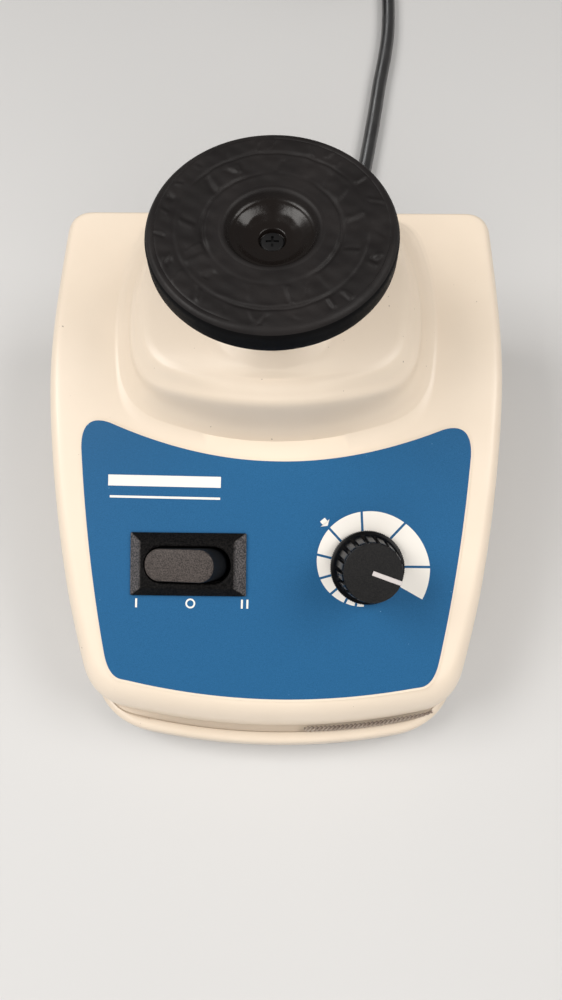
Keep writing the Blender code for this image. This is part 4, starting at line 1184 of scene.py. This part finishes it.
def make_head():
    under, top, flat = HEAD_TOP - HEAD_DEPTH, HEAD_TOP, HEAD_TOP - 0.0004
    inner = HEAD_R - 0.0038
    side = [
        (inner, under + 0.0002), (HEAD_R - 0.0010, under), (HEAD_R - 0.0003, under + 0.0004),
        (HEAD_R, under + 0.0011), (HEAD_R, under + 0.0034), (HEAD_R - 0.0001, top - 0.0036),
    ]
    edge = [
        (HEAD_R - 0.0029 * (1 - math.cos(a)), top - 0.0033 + 0.0032 * math.sin(a))
        for a in (math.radians(d) for d in (12, 24, 36, 48, 60, 72, 82, 90))
    ]
    count = 54
    plain = [(0.0350 - (0.0350 - 0.0162) * i / count, flat) for i in range(count + 1)]
    lip = smooth_profile([
        (0.0160, flat), (0.0155, flat + 0.0001), (0.0149, flat + 0.0001), (0.0142, top - 0.0008),
        (0.0136, top - 0.0017), (0.0130, top - 0.0025), (0.0124, top - 0.0029), (0.0118, top - 0.0031),
        (0.0111, top - 0.0035), (0.0102, top - 0.0041), (0.0092, top - 0.0047), (0.0080, top - 0.0051),
        (0.0066, top - 0.0055), (0.0052, top - 0.0057), (0.0045, top - 0.0058), (0.0042, top - 0.0061),
        (0.0041, top - 0.0067), (0.0040, top - 0.0074), (0.0034, top - 0.0075), (0.0027, top - 0.0075),
    ])
    below = [(0.0027, under), (0.0153, under), (0.0153, top - 0.0040), (inner, top - 0.0040)]
    profile = side + edge + plain + lip + below
    lobe_low, lobe_high, lobe_rise = CUP_LOBES
    rings = []
    for index, (radius, z) in enumerate(profile):
        on_top = len(side) + 5 <= index < len(profile) - len(below)
        lobed = on_top and lobe_low < radius < lobe_high
        share = math.sin(math.pi * (radius - lobe_low) / (lobe_high - lobe_low))
        ring = []
        for step in range(HEAD_STEPS):
            angle = 2 * math.pi * step / HEAD_STEPS
            lift = min(head_relief(radius, angle), top - z) if on_top and radius > CUP_EDGE else 0.0
            if lobed:
                lift += lobe_rise * share * math.cos(6 * angle)
            ring.append((radius * math.cos(angle), HEAD_Y + radius * math.sin(angle), z + lift))
        rings.append(ring)
    rubber_mesh = loft(rings, loop=True)
    top_piece = piece("rubber_top", rubber_mesh, HEAD, "head", ["rubber_head"], 0.9)
    # The faces below the rim take the darker side rubber: painted shade.
    top_piece.data.materials.append(HEAD_SIDE_SHADED.material)
    below_rim = (len(side) + 2) * HEAD_STEPS
    for face in top_piece.data.polygons[:below_rim]:
        face.material_index = 1

    screw = [
        (0.0021, 0.1260), (0.0021, top - 0.0075), (0.0036, top - 0.0075), (0.0036, top - 0.0070),
        (0.0033, top - 0.0067), (0.0025, top - 0.0066), (0, top - 0.0065),
    ]
    cross = cross_slots(0, HEAD_Y, 0.0020, top - 0.0072, top - 0.0040)
    screw_mesh = boolean(turned(screw, 48, centre=(0, HEAD_Y)), cross)
    piece("centre_screw", screw_mesh, DARK_STEEL, "head", ["head_screw"], 0.5)

    carrier = [
        (0, 0.1190), (0.0062, 0.1190), (0.0062, 0.1132), (0.0110, 0.1132), (0.0110, 0.1012),
        (0.0127, 0.1012), (0.0130, 0.1015), (0.0130, 0.1290),
    ]
    carrier += smooth_profile([(0.0131, 0.1304), (0.0145, 0.1325), (0.0178, 0.1345), (0.0188, 0.1352)])
    carrier += [(0.0190, 0.1356), (0.0190, 0.1408), (0.0024, 0.1408), (0.0024, 0.1240), (0, 0.1240)]
    stem = turned(carrier, 96, centre=(0, HEAD_Y))
    piece("head_stem", stem, ALUMINIUM, "head", ["head_carrier"], 0.5)


SEAL_INNER_R, SEAL_OUTER_R = 0.0150, 0.0157
SEAL_LIP, SEAL_TOP = 0.0024, 0.0029  # heights over the plateau


def make_neck_seal():
    """The seal round the stem, smaller and lower than the CAD's, so that its edge stays hidden."""
    low, lip, high = PLATEAU_Z - SKIN_DROP, PLATEAU_Z + SEAL_LIP, PLATEAU_Z + SEAL_TOP
    profile = [(SEAL_INNER_R, low), (SEAL_OUTER_R, low)]
    profile += smooth_profile([
        (SEAL_OUTER_R, lip), (0.01565, lip + 0.0003), (0.0155, high), (0.0152, high), (SEAL_INNER_R, lip),
    ])
    ring = turned(profile, 96, True, centre=(0, MOTOR_Y))
    piece("neck_ring", ring, RUBBER, "housing", ["neck_seal"], 0.7)


# ---- cord and plug


def make_relief():
    """The tapered boot: a flange against the housing, then a sleeve with cut flexing ribs."""
    profile = [
        (0.0066, -0.0060), (0.0066, 0.0), (0.0088, GAP), (0.0090, 0.0006), (0.0090, 0.0026),
        (0.0086, 0.0031), (0.0072, 0.0036),
    ]
    ribs, start, end = 7, 0.0042, RELIEF_LENGTH - 0.0020
    pitch = (end - start) / ribs
    for rib in range(ribs):
        z = start + rib * pitch
        radius = 0.0068 - 0.0016 * rib / ribs
        for sunk, share in ((0.0010, 0), (0.0010, 0.28), (0.0001, 0.36), (0, 0.5), (0.0001, 0.88)):
            profile.append((radius - sunk, z + pitch * share))
    profile += [(0.0052, end), (0.0051, RELIEF_LENGTH - 0.0003), (0.0049, RELIEF_LENGTH)]
    mesh = moved(turned(profile, 64), RELIEF_FRAME)
    return piece("relief_boot", mesh, CORD, "housing", ["strain_relief"], 0.5)


PLUG_FRAME = (
    Matrix.Translation(Vector(TAIL_ROUTE[-1])) @ Matrix.Rotation(PLUG_ANGLE, 4, "Z") @ RELIEF_TURN
)


PLUG_HALF = (0.0130, 0.0102)
PLUG_FACE = 0.034


def oval(half_x, half_y, z, waist=None):
    """A ring of the plug, drawn in at each angle by its waist."""
    ring = []
    for step in range(64):
        angle = 2 * math.pi * step / 64
        drawn = waist(angle) if waist else 0.0
        ring.append(((half_x - drawn) * math.cos(angle), (half_y - drawn) * math.sin(angle), z))
    return ring


def make_plug():
    """A moulded plug: a ribbed neck, a gripped oval body and a flat face that holds the blades."""
    sections = smooth_points([
        (0.0047, 0.0047, 3 * GAP), (0.0052, 0.0051, 0.004), (0.0056, 0.0054, 0.009),
        (0.0078, 0.0068, 0.0125), (0.0112, 0.0086, 0.016), (0.0126, 0.0098, 0.021), (*PLUG_HALF, 0.027),
        (*PLUG_HALF, 0.0325),
    ], 8)
    rings = []
    for half_x, half_y, z in sections:
        grip = 0.0005 * max(0.0, math.sin(2 * math.pi * (z - 0.017) / 0.0028)) if 0.017 < z < 0.029 else 0.0
        neck = 0.0004 * math.sin(2 * math.pi * z / 0.0022) if z < 0.009 else 0.0
        rings.append(oval(half_x, half_y, z, lambda angle: grip * abs(math.cos(angle)) ** 3 + neck))
    for shrink, z in ((0.0003, PLUG_FACE - 0.0005), (0.0008, PLUG_FACE), (0.0020, PLUG_FACE)):
        rings.append(oval(PLUG_HALF[0] - shrink, PLUG_HALF[1] - shrink, z))
    shell = moved(loft(rings), PLUG_FRAME)
    body = piece("plug_shell", shell, CORD, "housing", ["plug_body"], 0.6)

    face = PLUG_FACE + GAP
    pins = []
    for x in (-0.00635, 0.00635):
        levels = ((face + 0.0005, 0), (face + 0.0165, 0), (face + 0.0175, 0.0003))
        blade = loft([rounded_slot(0.00075 - t, 0.0032 - t, 0.0004, z, 3, 2) for z, t in levels])
        pins.append(moved(blade, Matrix.Translation((x, -0.0030, 0))))
    ground = [
        (0, face + 0.0005), (0.0023, face + 0.0005), (0.0023, face + 0.0182), (0.0020, face + 0.0194),
        (0.0012, face + 0.0200), (0, face + 0.0200),
    ]
    insert = [(0, face), (0.0083, face), (0.0085, face + 0.0003), (0.0085, face + 0.0010), (0, face + 0.0010)]
    prongs = joined([turned(insert, 48), *pins, turned(ground, 32, centre=(0, 0.0060))])
    metal = piece("plug_pins", moved(prongs, PLUG_FRAME), BRASS, "housing", ["plug_prongs"], 0.5)
    return [body, metal]


COIL_TURNS = (  # radius and height of each turn of the coil, from the first
    (0.044, 0.004), (0.036, 0.004), (0.036, 0.012), (0.044, 0.012), (0.036, 0.020), (0.044, 0.020),
)
TURN_STEPS = 48


def coil_points():
    """The coil's centreline, turning anticlockwise from its right-hand side, where the cord comes in."""
    points = []
    for turn, (radius, height) in enumerate(COIL_TURNS):
        following = COIL_TURNS[min(turn + 1, len(COIL_TURNS) - 1)]
        for step in range(TURN_STEPS):
            share = step / TURN_STEPS
            shift = smoothstep((share - 0.78) / 0.22)
            rise = smoothstep((share - 0.58) / 0.30)
            r = radius + (following[0] - radius) * shift
            z = height + (following[1] - height) * rise
            angle = 2 * math.pi * share
            points.append(COIL_CENTRE + Vector((r * math.cos(angle), r * math.sin(angle), z + 0.0001)))
    return points


def make_cord():
    lead_in = [Vector((0.0325, 0.1250, 0.0300)), *(Vector(p) for p in CORD_ROUTE)]
    last = COIL_TURNS[-1]
    leaving = [(COIL_CENTRE.x + last[0], COIL_CENTRE.y, 0.0200), (0.0641, 0.4220, 0.0200)]
    tail = smooth_points([*leaving, *TAIL_ROUTE], 5)
    points = smooth_points(lead_in, 5) + coil_points() + tail
    curve = bpy.data.curves.new("mains_cord", "CURVE")
    curve.dimensions = "3D"
    spline = curve.splines.new("POLY")
    spline.points.add(len(points) - 1)
    for point, place in zip(spline.points, points):
        point.co = (*place, 1)
    curve.bevel_depth = CORD_R
    curve.bevel_resolution = 6
    curve.use_fill_caps = True
    curve.materials.append(CORD.material)
    cord = add_object("mains_cord", curve)
    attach(cord, "housing")
    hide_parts("power_cord", "cord_coil", "cord_tail")
    return cord


TIE_ANGLE = math.radians(200)  # where the strap sits round the coil
TIE_CENTRE = (0.040, 0.0125)  # its distance from the coil's middle, and its height
TIE_HALF = (0.0088, 0.0124)  # half its opening, outward and upward
TIE_HALF_WIDTH = 0.006
TIE_THICK = 0.0009
TIE_CORNER = 0.0040
TIE_LOWEST = 0.0006


def make_tie():
    """A soft strap wrapped once round the coil's turns, on its left side."""
    out = Vector((math.cos(TIE_ANGLE), math.sin(TIE_ANGLE), 0))
    along = Vector((-out.y, out.x, 0))
    centre = COIL_CENTRE + out * TIE_CENTRE[0] + Vector((0, 0, TIE_CENTRE[1]))
    lowest = TIE_LOWEST - centre.z
    loops = []
    for thick, side in ((0.0, -1), (0.0, 1), (TIE_THICK, 1), (TIE_THICK, -1)):
        loop = rounded_slot(TIE_HALF[0] + thick, TIE_HALF[1] + thick, TIE_CORNER + thick, 0.0, 8, 6)
        shift = along * (side * TIE_HALF_WIDTH)
        loops.append([centre + out * x + Vector((0, 0, max(y, lowest))) + shift for x, y, _ in loop])
    return piece("cord_tie", loft(loops, loop=True), RUBBER, "housing", sharp=0.5)


def declare_cord():
    relief, cord, tie = make_relief(), make_cord(), make_tie()
    plug = make_plug()
    return [relief, cord, tie, *plug]


# ---- pieces that keep their CAD shape

INNER_FINISHES = (
    (STEEL, (
        "motor_plate", "motor_shaft", "eccentric_hub", "counterweight", "head_bearing", "pot_body",
        "pot_shaft", "pot_nut", "motor_bolt_1", "motor_bolt_2", "guide_post_1", "guide_post_2",
        "guide_post_3",
    )),
    (DARK_STEEL, ("hub_set_screw",)),
    (IRON, ("stator_core", "rotor_core")),
    (ALUMINIUM, ("motor_bracket_top", "motor_bracket_bottom", "head_platform", "triac_heatsink")),
    (COPPER, ("field_coil",)),
    (BRASS, ("bearing_top", "bearing_bottom", "pot_bushing")),
    (BLACK, ("switch_body", "cooling_fan", "touch_switch_body")),
    (ROCKER, ("touch_switch_plunger",)),
    (BOARD, ("circuit_board",)),
    (CAPACITOR, ("suppression_capacitor",)),
)


def finish_inner_nodes():
    for finish, names in INNER_FINISHES:
        for name in names:
            mesh = NODES[name].data
            mesh.materials.clear()
            mesh.materials.append(finish.material)


# ---- springs under the carriage

PLATE_UNDER_Z = 0.0280  # the underside of the carriage plate that the springs hold up


SPRING_COILS = 4
SPRING_STEPS = 36  # to each coil
SPRING_R = 0.0049
SPRING_WIRE_R = 0.0006


def make_springs():
    """Round-wire springs, from the guide posts' seats up to the carriage plate."""
    low, high = POST_SEAT_Z + 0.0008, PLATE_UNDER_Z - GAP
    steps = SPRING_COILS * SPRING_STEPS
    for index, (x, y) in enumerate(GUIDE_PLACES):
        rings = []
        for step in range(steps + 1):
            angle = 2 * math.pi * step / SPRING_STEPS
            height = low + SPRING_WIRE_R + (high - low - 2 * SPRING_WIRE_R) * step / steps
            out = Vector((math.cos(angle), math.sin(angle), 0))
            centre = Vector((x, y, height)) + out * SPRING_R
            rings.append(wire_section(centre, out, SPRING_WIRE_R, SPRING_WIRE_R, 12))
        name = f"touch_spring_{index + 1}"
        spring = piece(f"spring_coil_{index + 1}", loft(rings), STEEL, "housing", [name])
        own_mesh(spring)


# ---- stage


def make_stage():
    size = 3.0
    corners = [(-size, -size), (size, -size), (size, size), (-size, size)]
    floor_mesh = bpy.data.meshes.new("floor")
    floor_mesh.from_pydata([(x, y, 0) for x, y in corners], [], [(0, 1, 2, 3)])
    floor = add_object("floor", floor_mesh)
    surface = Finish("pale_floor", 0.7)
    tone = surface.mix(surface.noise(3, 3), (0.60, 0.60, 0.60), (0.64, 0.64, 0.64))
    surface.colour(tone)
    floor_mesh.materials.append(surface.material)


def area_light(name, place, target, size, power, colour=(1, 1, 1), seen=True):
    data = bpy.data.lights.new(name, "AREA")
    data.shape = "RECTANGLE"
    data.size, data.size_y = size
    data.energy = power
    data.color = colour
    light = add_object(name, data)
    light.location = place
    light.rotation_euler = (Vector(target) - Vector(place)).to_track_quat("-Z", "Y").to_euler()
    light.visible_glossy = seen
    return light


def make_lights(cord_pieces):
    """Two softboxes at the sides and a fill in front, and a gleam from behind that falls on the cord."""
    aim = (0, 0.02, 0.06)
    area_light("left_softbox", (-0.80, 0.00, 1.10), aim, (0.80, 0.60), 11.2, (1.0, 0.975, 0.945))
    area_light("right_softbox", (0.80, 0.00, 1.10), aim, (0.80, 0.60), 8.2, (1.0, 0.97, 0.935))
    area_light("front_fill", (0.0, -0.95, 0.95), aim, (1.4, 0.8), 9.0, (1.0, 0.975, 0.945), False)
    gleam = area_light("rear_gleam", (-0.22, 1.10, 0.95), (0.035, 0.16, 0.02), (0.30, 0.90), 3.6)
    on_cord = bpy.data.collections.new("lit_by_rear_gleam")
    for made in cord_pieces:
        on_cord.objects.link(made)
    gleam.light_linking.receiver_collection = on_cord
    world = bpy.data.worlds.new("studio")
    world.use_nodes = True
    background = world.node_tree.nodes["Background"]
    background.inputs["Color"].default_value = (1.0, 0.985, 0.96, 1)
    background.inputs["Strength"].default_value = 0.14
    bpy.context.scene.world = world
    bpy.context.scene.view_settings.view_transform = "Standard"


CAMERA_PLACE = (0.00703, -0.1232, 0.32421)
CAMERA_TURNS = ((2.38, "Z"), (22.29, "X"), (-1.61, "Z"))  # degrees: heading, tilt and roll
CAMERA_LENS = 27.04


def make_camera():
    data = bpy.data.cameras.new("camera")
    data.lens = CAMERA_LENS
    data.sensor_width = 36
    data.clip_start = 0.02
    camera = add_object("camera", data)
    heading, tilt, roll = (Matrix.Rotation(math.radians(angle), 4, axis) for angle, axis in CAMERA_TURNS)
    camera.matrix_world = Matrix.Translation(CAMERA_PLACE) @ (heading @ tilt @ roll)
    bpy.context.scene.camera = camera


make_camera()
cord_pieces = declare_cord()
make_housing()
make_base()
make_gasket()
make_feet()
make_base_screws()
make_overlay()
make_switch()
make_knob()
make_head()
make_neck_seal()
make_springs()
finish_inner_nodes()
make_stage()
make_lights(cord_pieces)
